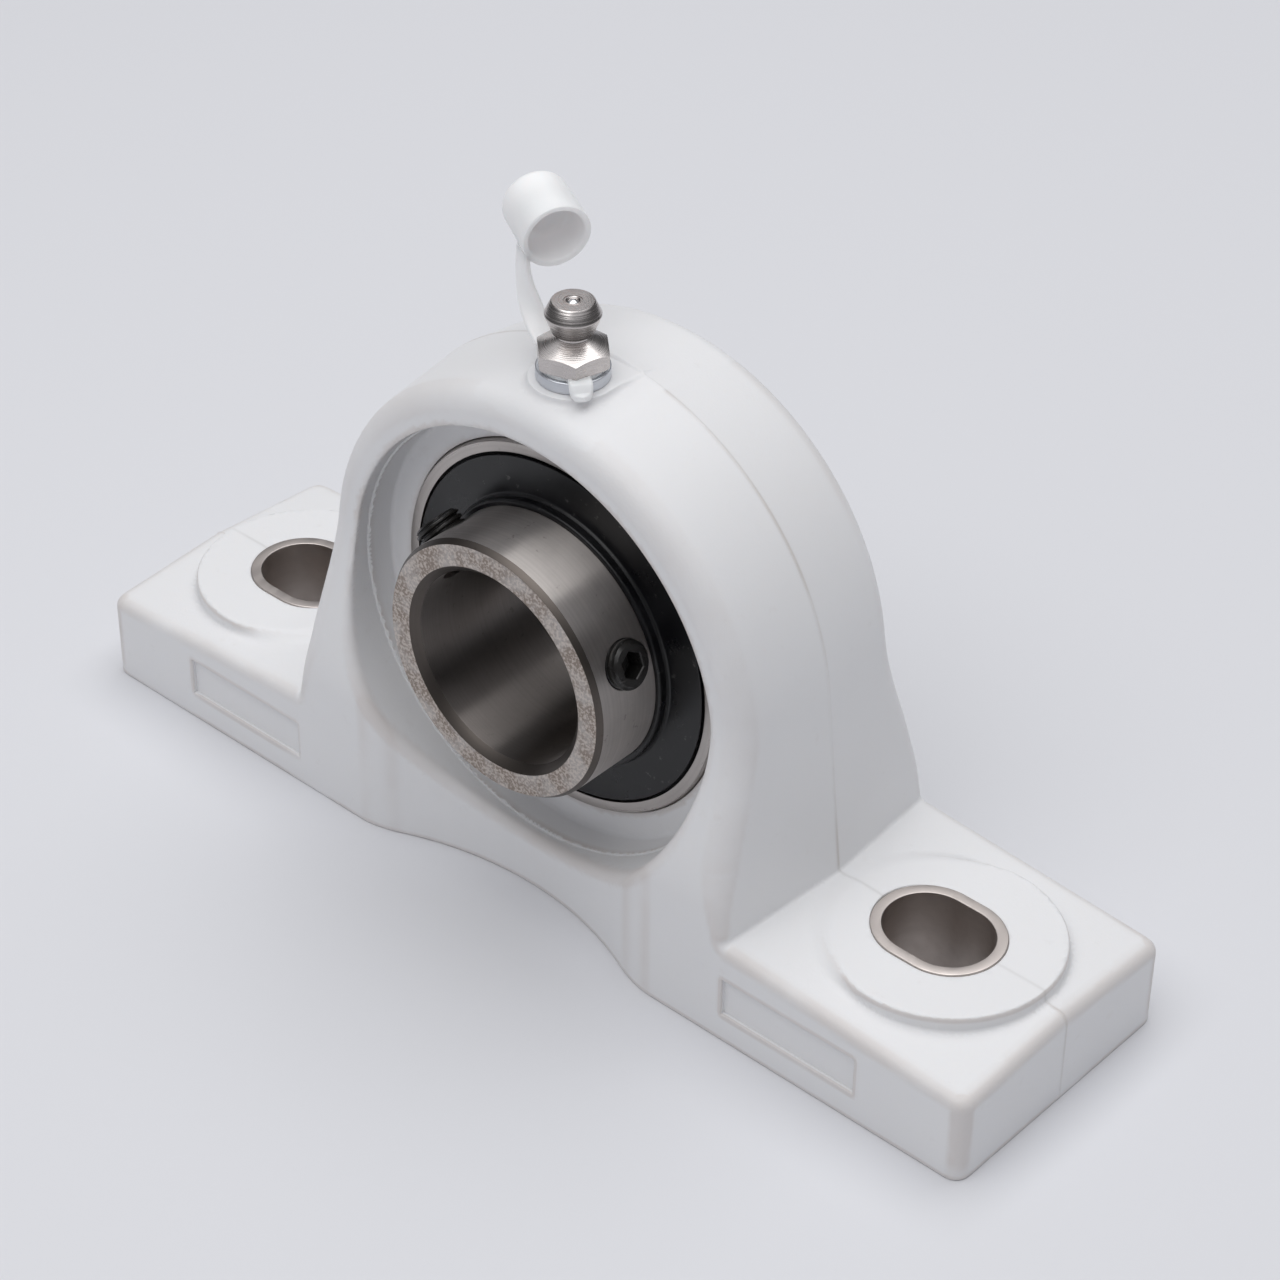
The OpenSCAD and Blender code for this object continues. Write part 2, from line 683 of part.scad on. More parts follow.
module between_balls() {
    for (i = [1:ball_count]) translate([0, 0, bore_h]) rotate([0, 360 * (i - 0.5) / ball_count, 0])
        translate([0, 0, -bore_h]) children();
}

module cage_front() { color("tan") cage_half(); }
module cage_rear() { color("tan") mirror([0, 1, 0]) cage_half(); }

module cage_rivets() {
    color("goldenrod") between_balls() on_shaft() translate([0, pitch_r, 0]) {
        cylinder(r = rivet_r, h = 2 * cage_t, center = true, $fn = small_fn);
        for (end = [-1, 1]) translate([0, 0, end * (cage_t + rivet_head_t / 2)])
            cylinder(r = rivet_head_r, h = rivet_head_t, center = true, $fn = small_fn);
    }
}

module seal() {
    color("dimgray") on_shaft() translate([0, 0, seal_y]) difference() {
        cylinder(r = counterbore_r, h = seal_t, $fn = round_fn);
        translate([0, 0, -cut]) cylinder(r = inner_r + seal_lip_gap, h = seal_t + 2 * cut, $fn = round_fn);
    }
}

module seal_front() { seal(); }
module seal_rear() { mirror([0, 1, 0]) seal(); }

// Pressed disc with a hub that grips the inner ring
module slinger() {
    front = half_outer + slinger_proud;
    back = front - slinger_t;
    rim = counterbore_r - slinger_gap;
    hub = inner_r + hub_t;
    color("black") on_shaft() rotate_extrude($fn = round_fn) polygon([
        [inner_r, back], [rim - 0.2, back], [rim, back + 0.2], [rim, front],
        [hub + 0.7, front], [hub + 0.2, front + 0.3], [hub, front + 0.8],
        [hub - 0.1, front + hub_l - 0.2], [hub - 0.4, front + hub_l], [inner_r, front + hub_l]]);
}

module slinger_front() { slinger(); }
module slinger_rear() { mirror([0, 1, 0]) slinger(); }

module set_screw(turn, tip_r) {
    bevel = 0.5;
    r = screw_d / 2;
    color("black") translate([0, -screw_y, bore_h]) rotate([0, 90 - turn, 0]) translate([0, 0, tip_r])
        difference() {
            rotate_extrude($fn = small_fn) polygon([[0, cup_point_depth], [cup_point_r, 0], [r - bevel, 0],
                [r, bevel], [r, screw_l - bevel], [r - bevel, screw_l], [0, screw_l]]);
            translate([0, 0, screw_l - socket_l])
                cylinder(r = socket_af / 2 / cos(30), h = socket_l + cut, $fn = 6);
        }
}

module set_screw_side() { set_screw(screw_turns[0], screw_tip_r); }
// The upper screw is backed off a little further
module set_screw_upper() { set_screw(screw_turns[1], screw_tip_r + screw_lift); }

housing();
bolt_sleeve_left();
bolt_sleeve_right();
nipple_insert();
grease_nipple();
nipple_ball();
nipple_spring();
cap_ring();
cap_strap();
dust_cap();
anti_rotation_pin();
outer_ring();
inner_ring();
cage_front();
cage_rear();
cage_rivets();
seal_front();
seal_rear();
slinger_front();
slinger_rear();
set_screw_side();
set_screw_upper();
bearing_ball(1);  // ball_1
bearing_ball(2);  // ball_2
bearing_ball(3);  // ball_3
bearing_ball(4);  // ball_4
bearing_ball(5);  // ball_5
bearing_ball(6);  // ball_6
bearing_ball(7);  // ball_7
bearing_ball(8);  // ball_8
bearing_ball(9);  // ball_9
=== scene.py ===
import math

import bmesh
import bpy
import numpy as np
from mathutils import Matrix, Vector


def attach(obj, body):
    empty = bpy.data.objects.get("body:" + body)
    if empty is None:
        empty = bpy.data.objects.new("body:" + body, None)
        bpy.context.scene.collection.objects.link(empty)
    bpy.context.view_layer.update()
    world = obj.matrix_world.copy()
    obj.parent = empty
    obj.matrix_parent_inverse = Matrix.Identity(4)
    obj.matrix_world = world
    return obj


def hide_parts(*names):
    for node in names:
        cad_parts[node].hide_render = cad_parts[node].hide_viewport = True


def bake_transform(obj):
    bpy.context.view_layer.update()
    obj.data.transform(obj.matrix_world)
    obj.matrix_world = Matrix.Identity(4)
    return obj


bl_info = {
    "name": "Pillow Block Bearing",
    "version": (1, 0, 0),
    "blender": (4, 5, 0),
    "location": "View3D > Sidebar > Bearing",
    "description": "Builds the looks of a moulded pillow block bearing around its packed frame",
    "category": "Object",
}

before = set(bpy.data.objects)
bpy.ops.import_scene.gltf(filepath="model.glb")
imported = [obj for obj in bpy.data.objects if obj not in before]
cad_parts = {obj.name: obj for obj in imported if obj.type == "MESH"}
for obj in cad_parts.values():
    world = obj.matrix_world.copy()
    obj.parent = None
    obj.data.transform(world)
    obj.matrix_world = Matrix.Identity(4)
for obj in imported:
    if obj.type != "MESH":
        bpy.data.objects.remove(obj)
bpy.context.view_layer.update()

MM = 0.001
AXIS_HEIGHT = 36.5 * MM
FRONT = Matrix.Translation((0, 0, AXIS_HEIGHT)) @ Matrix.Rotation(math.radians(90), 4, "X")
REAR = Matrix.Scale(-1, 4, (0, 1, 0)) @ FRONT
NIPPLE_FOOT = Vector((0, -5.6, 71.05)) * MM
NIPPLE_PLACE = Matrix.Translation(NIPPLE_FOOT)
SCREW_SPREAD = math.radians(120)


# Sizes and colours that a user would change

def length(name, description, value):
    """A length, its default given in millimetres"""
    return bpy.props.FloatProperty(
        name=name, description=description, default=value * MM, min=0, precision=5,
        unit="LENGTH", subtype="DISTANCE")


def tint(name, description, value):
    """A colour"""
    return bpy.props.FloatVectorProperty(
        name=name, description=description, default=value, min=0, max=1, size=3, subtype="COLOR")


def turn(name, description, degrees):
    """An angle, its default given in degrees"""
    return bpy.props.FloatProperty(
        name=name, description=description, default=math.radians(degrees), unit="ROTATION", subtype="ANGLE")


def level(name, description, value, unit="NONE"):
    """A power or strength"""
    return bpy.props.FloatProperty(name=name, description=description, default=value, min=0, unit=unit)


def in_mm(sizes, *names):
    """Sizes of a property group in millimetres"""
    return [getattr(sizes, name) / MM for name in names]


def half_in_mm(sizes, *names):
    """Half of each size, in millimetres"""
    return [size / 2 for size in in_mm(sizes, *names)]


class HousingSizes(bpy.types.PropertyGroup):
    """Sizes of the moulded housing"""
    base_length: length("Base length", "Length of the base over its two ends", 142.4)
    base_width: length("Base width", "Width of the base along the shaft", 38)
    foot_height: length("Foot height", "Height of the foot's top where it meets the upright", 15.2)
    corner_radius: length("Corner radius", "Radius of the base's upright corners", 2)
    edge_radius: length("Edge radius", "Radius of the top edges of the feet", 1.35)
    arch_radius: length("Arch radius", "Outer radius of the arch on its mid line", 34.9)
    arch_width: length("Arch width", "Width of the arch along the shaft", 27.5)
    arch_edge: length("Arch edge", "Radius of the arch's front and rear edges", 2.8)
    recess_radius: length("Recess radius", "Radius of the recess round the bearing", 28.4)
    recess_floor: length("Recess floor", "Distance of the recess floor from the mid line", 8)
    seat_radius: length("Seat radius", "Radius of the spherical seat", 26.05)
    waist_radius: length("Waist radius", "Radius of the waist scooped out of the front", 46)
    waist_depth: length("Waist distance", "Distance of the waist from the mid line", 13.6)
    slot_pitch: length("Slot pitch", "Distance between the two bolt slots", 105)
    pad_radius: length("Pad radius", "Radius of the raised pad round a slot", 14.4)
    pad_height: length("Pad height", "Height of the raised pads above the base", 14.85)
    seam_height: length("Seam height", "Height of the mould's parting line", 0.05)
    mesh_step: length("Mesh step", "Spacing of the housing's mesh", 0.62)


class BearingSizes(bpy.types.PropertyGroup):
    """Sizes of the insert bearing, its screws and the bolt sleeves"""
    bore: length("Bore", "Diameter of the shaft bore", 25.4)
    inner_diameter: length("Inner ring", "Outside diameter of the inner ring", 34)
    inner_front: length("Long end", "Reach of the inner ring to the front", 19.7)
    inner_rear: length("Short end", "Reach of the inner ring to the rear", 14.3)
    outer_diameter: length("Outer ring", "Diameter of the spherical outer ring", 52)
    outer_width: length("Outer ring width", "Width of the outer ring", 17)
    slinger_radius: length("Slinger", "Outer radius of the slinger discs", 22.85)
    screw_diameter: length("Screw", "Diameter of the set screws", 6)
    screw_length: length("Screw length", "Length of a set screw", 5)
    screw_distance: length("Screw distance", "Distance of the set screws from the mid line", 14)
    screw_lift: length("Screw lift", "Height by which the upper set screw stands higher than the other", 0.6)
    thread_pitch: length("Thread pitch", "Pitch of the set screws' thread", 0.75)
    screw_turn: turn("Screw direction", "Direction of the lower set screw round the shaft", 21)


class NippleSizes(bpy.types.PropertyGroup):
    """Sizes of the grease nipple and its tethered cap"""
    hexagon: length("Hexagon", "Width across the flats of the nipple's hexagon", 8)
    height: length("Height", "Height of the nipple's head above the boss", 9.85)
    head_radius: length("Head radius", "Largest radius of the nipple's head", 3.3)
    flange_radius: length("Flange radius", "Radius of the insert's flange", 4.35)
    cap_radius: length("Cap radius", "Outside radius of the dust cap", 4.15)
    cap_length: length("Cap length", "Length of the dust cap", 8)
    cap_wall: length("Cap wall", "Wall of the dust cap", 0.75)
    strap_width: length("Strap width", "Width of the cap's strap", 2.75)
    strap_thickness: length("Strap thickness", "Thickness of the cap's strap", 0.9)


class FinishColours(bpy.types.PropertyGroup):
    """Colours of the bearing's finishes"""
    moulding: tint("Moulding", "Off-white thermoplastic of the housing", (0.80, 0.80, 0.81))
    moulding_edge: tint("Moulding edge", "Warm tint along the housing's edges", (0.55, 0.48, 0.44))
    sleeve: tint("Sleeve", "Stainless steel of the bolt sleeves", (0.56, 0.51, 0.48))
    ring: tint("Ring", "Ground steel of the rings", (0.46, 0.43, 0.41))
    ring_stain: tint("Ring stain", "Brown stain on the inner ring's face", (0.24, 0.19, 0.155))
    slinger: tint("Slinger", "Black lacquer of the slinger discs", (0.004, 0.004, 0.005))
    screw: tint("Screw", "Black oxide of the set screws", (0.020, 0.019, 0.018))
    nipple: tint("Nipple", "Plating of the grease nipple", (0.68, 0.64, 0.62))
    insert: tint("Insert", "Zinc of the nipple's insert", (0.68, 0.70, 0.74))
    cap: tint("Cap", "White plastic of the cap and strap", (0.955, 0.945, 0.945))


class StageSettings(bpy.types.PropertyGroup):
    """Floor, key lamp, surrounding light and camera"""
    floor: tint("Floor", "Colour of the floor", (0.725, 0.73, 0.76))
    key_power: level("Key lamp", "Power of the soft lamp overhead", 8.1, "POWER")
    world_level: level("World level", "Strength of the surrounding light", 0.36)
    glossy_level: level("Glossy level", "Strength of the low surroundings that shiny surfaces reflect", 0.08)
    ceiling_level: level(
        "Ceiling level", "Strength of the high surroundings that shiny surfaces reflect", 0.7)
    azimuth: turn("Azimuth", "Camera's direction round the bearing", 41.638)
    elevation: turn("Elevation", "Camera's height above the horizon", 36.747)
    roll: turn("Roll", "Camera's roll", 0.591)
    distance: length("Distance", "Camera's distance from the point it looks at", 433.02)


# Meshes

CREASE_DEGREES = 35
MERGE_DISTANCE = 1e-7
TINY = 1e-6
STRAIGHT = math.radians(89)
SIDE_SHARE = 0.49


def linked(name, data):
    """A new object of the scene with a mesh, lamp or camera as its data"""
    made = bpy.data.objects.new(name, data)
    bpy.context.scene.collection.objects.link(made)
    return made


def new_piece(name, mesh, material, body, replaced):
    """Links a finished mesh as one piece of the bearing that rides on a body and stands for CAD nodes"""
    piece = linked(name, mesh)
    mesh.materials.clear()
    mesh.materials.append(material)
    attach(piece, body)
    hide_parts(*replaced)
    return piece


def mark_mesh(mesh, domain, **masks):
    """Stores masks on a mesh's points or faces, for its material to read"""
    for name, values in masks.items():
        mark = mesh.attributes.new(name, "FLOAT", domain)
        mark.data.foreach_set("value", values.astype(np.float32))


def mesh_of(name, points, faces, place=None, crease=CREASE_DEGREES):
    """A closed mesh in metres from points in millimetres, with sharp edges past an angle in degrees"""
    made = bmesh.new()
    rows = [made.verts.new(Vector(p) * MM) for p in points]
    for face in faces:
        made.faces.new([rows[i] for i in face])
    bmesh.ops.remove_doubles(made, verts=made.verts, dist=MERGE_DISTANCE)
    if place is not None:
        bmesh.ops.transform(made, matrix=place, verts=made.verts)
    bmesh.ops.recalc_face_normals(made, faces=made.faces)
    mesh = bpy.data.meshes.new(name)
    made.to_mesh(mesh)
    made.free()
    mesh.shade_smooth()
    mesh.set_sharp_from_angle(angle=math.radians(crease))
    return mesh


def rounded(corners, steps=4):
    """A closed outline whose corners (u, v, radius) are rounded"""
    outline = []
    for i, (u, v, radius) in enumerate(corners):
        here = Vector((u, v))
        before = Vector(corners[i - 1][:2]) - here
        after = Vector(corners[(i + 1) % len(corners)][:2]) - here
        if radius <= 0 or before.length < TINY or after.length < TINY:
            outline.append((u, v))
            continue
        b, a = before.normalized(), after.normalized()
        half = math.acos(max(-1, min(1, b.dot(a)))) / 2
        if half > STRAIGHT:
            outline.append((u, v))
            continue
        reach = min(radius / math.tan(half), before.length * SIDE_SHARE, after.length * SIDE_SHARE)
        size = reach * math.tan(half)
        centre = here + (b + a).normalized() * (size / math.sin(half))
        first, last = here + b * reach - centre, here + a * reach - centre
        sweep = first.angle_signed(last)
        for k in range(steps + 1):
            spot = first.copy()
            spot.rotate(Matrix.Rotation(-sweep * k / steps, 2))
            outline.append(tuple(centre + spot))
    return outline


def angles_round(count):
    """Evenly spaced angles of a full turn"""
    return [2 * math.pi * k / count for k in range(count)]


def lathe(name, corners, place, segments=160, steps=4, crease=CREASE_DEGREES):
    """Turns a closed outline of (radius, height, rounding) corners round an axis"""
    outline = rounded(corners, steps)
    n = len(outline)
    points = [(r * math.cos(a), r * math.sin(a), h) for a in angles_round(segments) for r, h in outline]
    on_axis = [r < TINY for r, h in outline]
    faces = []
    for k in range(segments):
        m = (k + 1) % segments
        for i in range(n):
            j = (i + 1) % n
            if on_axis[i] and on_axis[j]:
                continue
            if on_axis[i]:
                faces.append([k * n + i, m * n + j, k * n + j])
            elif on_axis[j]:
                faces.append([k * n + i, m * n + i, k * n + j])
            else:
                faces.append([k * n + i, m * n + i, m * n + j, k * n + j])
    return mesh_of(name, points, faces, place, crease)


def ring_points(angles, reach, height):
    """Points round the Z axis; their reach and height are one number, or one for each angle"""
    rows = zip(angles, np.broadcast_to(reach, len(angles)), np.broadcast_to(height, len(angles)))
    return [(r * math.cos(a), r * math.sin(a), h) for a, r, h in rows]


def ring_stack(name, rings, place=None, crease=CREASE_DEGREES):
    """A closed mesh through rings of equally many points, its two ends filled"""
    n = len(rings[0])
    points = [p for ring in rings for p in ring]
    faces = [[k * n + i, k * n + (i + 1) % n, (k + 1) * n + (i + 1) % n, (k + 1) * n + i]
             for k in range(len(rings) - 1) for i in range(n)]
    faces += [list(range(n)), list(range((len(rings) - 1) * n, len(rings) * n))]
    return mesh_of(name, points, faces, place, crease)


def hexagon_reach(angle, flats):
    """Distance from a hexagon's centre to its side in a direction"""
    return flats / 2 / math.cos((angle + math.pi / 6) % (math.pi / 3) - math.pi / 6)


def evaluated_mesh(thing):
    """A plain mesh of an object as its modifiers make it"""
    bpy.context.view_layer.update()
    return bpy.data.meshes.new_from_object(thing.evaluated_get(bpy.context.evaluated_depsgraph_get()))


def cut_with(mesh, cutters):
    """The mesh less its cutters, exactly"""
    target = linked("cut_target", mesh)
    tools = [linked("cut_tool", cutter) for cutter in cutters]
    for tool in tools:
        cut = target.modifiers.new("cut", "BOOLEAN")
        cut.operation = "DIFFERENCE"
        cut.solver = "EXACT"
        cut.object = tool
    made = evaluated_mesh(target)
    for thing in tools + [target]:
        bpy.data.objects.remove(thing)
    made.set_sharp_from_angle(angle=math.radians(CREASE_DEGREES))
    return made


# Solids described by their distance to a surface, in millimetres

NORMAL_STEP = 0.02
POINT_STEP = 0.05
FACE_STEP = 0.03
SETTLING_STEPS = (0.05, 0.03, 0.02)
SETTLING_MOST = 0.3
SLOPE_LEAST = 0.2
CREASE_SHARE = 0.03
CROSSING_TRIES = 4
CREASE_COSINE = math.cos(math.radians(14))
PLANES, OFFSETS, PLACES, COUNT = slice(0, 9), slice(9, 12), slice(12, 15), 15


def both(a, b, radius):
    """Where two solids overlap, its outer edge rounded"""
    return (np.minimum(np.maximum(a, b), -radius)
            + np.hypot(np.maximum(a + radius, 0), np.maximum(b + radius, 0)))


def either(a, b, radius):
    """Two solids joined with a fillet"""
    return -both(-a, -b, radius)


def grid_line(low, high, step, fine=()):
    """Places along one axis, closer together round each (centre, half width, step) of fine"""
    places = [low]
    while places[-1] < high:
        near = [f[2] for f in fine if abs(places[-1] + f[2] / 2 - f[0]) <= f[1]]
        places.append(places[-1] + min(near + [step]))
    return np.array(places, np.float32)


def mirrored_line(half):
    """A line of places on both sides of zero, none of them at zero"""
    return np.concatenate([-half[::-1], half])


def crossing_places(distance, value, lines, axis, spots):
    """Where the surface crosses the grid's edges that run along an axis from the spots"""
    after = spots.copy()
    after[:, axis] += 1
    place = np.stack([lines[k][spots[:, k]] for k in range(3)], 1).astype(float)
    start = place[:, axis].copy()
    span = lines[axis][after[:, axis]] - start
    low, high = np.zeros(len(spots)), np.ones(len(spots))
    at_low, at_high = value[tuple(spots.T)].astype(float), value[tuple(after.T)].astype(float)
    for _ in range(CROSSING_TRIES):
        share = low + (high - low) * at_low / (at_low - at_high)
        place[:, axis] = start + share * span
        here = distance(place.T)
        same = (here < 0) == (at_low < 0)
        low, at_low = np.where(same, share, low), np.where(same, here, at_low)
        high, at_high = np.where(same, high, share), np.where(same, at_high, here)
    return place


def grid_crossings(solid, index):
    """Grid edges that the surface crosses, by axis, with the cells round each; marks these in index"""
    crossings = []
    for axis in range(3):
        u, v = (axis + 1) % 3, (axis + 2) % 3
        low = [slice(None)] * 3
        high = [slice(None)] * 3
        low[axis], high[axis] = slice(0, -1), slice(1, None)
        spots = np.argwhere(solid[tuple(low)] != solid[tuple(high)])
        keep = (spots[:, u] > 0) & (spots[:, v] > 0)
        keep &= (spots[:, u] < solid.shape[u] - 1) & (spots[:, v] < solid.shape[v] - 1)
        spots = spots[keep]
        ring = []
        for du, dv in ((0, 0), (-1, 0), (-1, -1), (0, -1)):
            cell = spots.copy()
            cell[:, u] += du
            cell[:, v] += dv
            ring.append(cell)
            index[tuple(cell.T)] = 0
        crossings.append((axis, spots, ring))
    return crossings


def surface_net(distance, value, lines):
    """Points and quads of the zero surface of values on a grid, one point in each cell that it crosses

    Each point lies where the surface's planes at the cell's crossed edges meet, so that creases stay sharp.
    """
    solid = value < 0
    index = np.full([n - 1 for n in solid.shape], -1, np.int64)
    crossings = grid_crossings(solid, index)
    cells = np.argwhere(index == 0)
    index[tuple(cells.T)] = np.arange(len(cells))
    total = np.zeros((COUNT + 1, len(cells)))
    quads = []
    for axis, spots, ring in crossings:
        place = crossing_places(distance, value, lines, axis, spots)
        normal = unit_slope(distance, place, NORMAL_STEP)
        planes = (normal[:, :, None] * normal[:, None, :]).reshape(-1, 9)
        offsets = normal * (normal * place).sum(1)[:, None]
        parts = np.concatenate([planes, offsets, place, np.ones((len(place), 1))], 1).T
        ring = np.stack([index[tuple(cell.T)] for cell in ring], 1)
        for k in range(4):
            for row, part in enumerate(parts):
                total[row] += np.bincount(ring[:, k], part, len(cells))
        leaves = solid[tuple(spots.T)]
        ring[~leaves] = ring[~leaves][:, ::-1]
        quads.append(ring)
    centre = (total[PLACES] / total[COUNT]).T
    planes = total[PLANES].T.reshape(-1, 3, 3)
    rest = total[OFFSETS].T - np.einsum("nij,nj->ni", planes, centre)
    size, way = np.linalg.eigh(planes)
    sharp = size > CREASE_SHARE * size[:, 2:]
    pull = np.einsum("nji,nj->ni", way, rest)
    pull = np.where(sharp, pull / np.where(sharp, size, 1), 0)
    points = centre + np.einsum("nij,nj->ni", way, pull)
    for k in range(3):
        points[:, k] = np.clip(points[:, k], lines[k][cells[:, k]], lines[k][cells[:, k] + 1])
    return points, np.concatenate(quads)


def slope_at(distance, points, step):
    """Gradient of a distance function at points"""
    rows = []
    for axis in range(3):
        ahead, behind = points.copy(), points.copy()
        ahead[:, axis] += step
        behind[:, axis] -= step
        rows.append((distance(ahead.T) - distance(behind.T)) / (2 * step))
    return np.stack(rows, 1)


def unit_slope(distance, points, step):
    """Direction in which a distance function grows at points"""
    slope = slope_at(distance, points, step)
    return slope / np.linalg.norm(slope, axis=1)[:, None]


def solid_mesh(name, distance, lines):
    """A smooth closed mesh of the solid where distance(points) is below zero, and its points"""
    x, y, z = np.meshgrid(*lines, indexing="ij", sparse=True)
    points, quads = surface_net(distance, distance((x, y, z)), lines)
    for step in SETTLING_STEPS:
        slope = slope_at(distance, points, step)
        size = np.maximum((slope ** 2).sum(1), SLOPE_LEAST)
        points -= np.clip(distance(points.T) / size, -SETTLING_MOST, SETTLING_MOST)[:, None] * slope
    middle = [np.abs(distance(((points[quads[:, k]] + points[quads[:, k + 2]]) / 2).T)) for k in (0, 1)]
    other = middle[1] < middle[0]
    quads[other] = np.roll(quads[other], -1, axis=1)
    triangles = np.concatenate([quads[:, [0, 1, 2]], quads[:, [0, 2, 3]]])
    mesh = bpy.data.meshes.new(name)
    mesh.vertices.add(len(points))
    mesh.vertices.foreach_set("co", (points * MM).astype(np.float32).ravel())
    mesh.loops.add(triangles.size)
    mesh.loops.foreach_set("vertex_index", triangles.astype(np.int32).ravel())
    mesh.polygons.add(len(triangles))
    mesh.polygons.foreach_set("loop_start", np.arange(0, triangles.size, 3, dtype=np.int32))
    mesh.update(calc_edges=True)
    mesh.shade_smooth()
    mesh.normals_split_custom_set(corner_normals(distance, points, triangles))
    return mesh, points


def corner_normals(distance, points, triangles):
    """Normals of the triangles' corners: the surface's own, or beside a crease the triangle's"""
    smooth = unit_slope(distance, points, POINT_STEP)[triangles].reshape(-1, 3)
    corners = points[triangles]
    inside = (corners + corners.mean(1, keepdims=True)) / 2
    own = unit_slope(distance, inside.reshape(-1, 3), FACE_STEP)
    crease = (own * smooth).sum(1) < CREASE_COSINE
    return np.where(crease[:, None], own, smooth).tolist()


# Housing: slopes without a unit, radii and distances in millimetres

DRAFT = 0.114
FLANK_SPREAD = 0.11
FOOT_FALL = 0.066
FOOT_SIDE_FALL = 0.063
FOOT_SLOPE = 1.004
FLARE_TOP = 41.5
FLARE_FOOT = 17.5
ROOT_FILLET = 0.4
EDGE_FROM = 15
EDGE_SPAN = 8
BASE_EDGE = 0.25
SEAM_WIDTH = 0.13

PAD_SHIFT = 1
PAD_FILLET = 1.6
PAD_FILLET_FALL = 1.15
PAD_FILLET_SPAN = 8

BOSS_RADIUS = 5.3
BOSS_DEPTH = 6
BOSS_EDGE = 0.2
BOSS_FILLET = 0.7
BOSS_BACK = (2.2, 2.4)
CLEAR_BACK = (-1.5, 1.8)
CLEAR_MARGIN = 0.4
CLEAR_EDGE = 0.12

RECESS_FILLET = 0.5
RECESS_EDGE = 0.35
RECESS_EDGE_GROWTH = 1.1
RECESS_EDGE_SPAN = 14
RECESS_STEP = 0.3
STEP_Y = 11.8
WAIST_DROP = 7
WAIST_EDGE = 1.3

PANEL_X = 45.6
PANEL_Z = 6.75
PANEL_REACH = 9.9
PANEL_RISE = 2.65
PANEL_DEPTH = 0.6
PANEL_EDGE = 0.2
SLEEVE_RADIUS = 6.9
SLEEVE_REACH = 1.5
SLOT_EDGE = 0.25

SEAT_EDGE = 0.3
LOADING_RADIUS = 26.2
LOADING_HALF_HEIGHT = 8.7
LOADING_EDGE = 0.15
PIN_X = 25.5
PIN_HALF_LENGTH = 2
PIN_HALF_HEIGHT = 1.35
PIN_FRONT = 2.8
PIN_EDGE = 0.1
INSERT_RADIUS = 4
INSERT_OVERLAP = 1


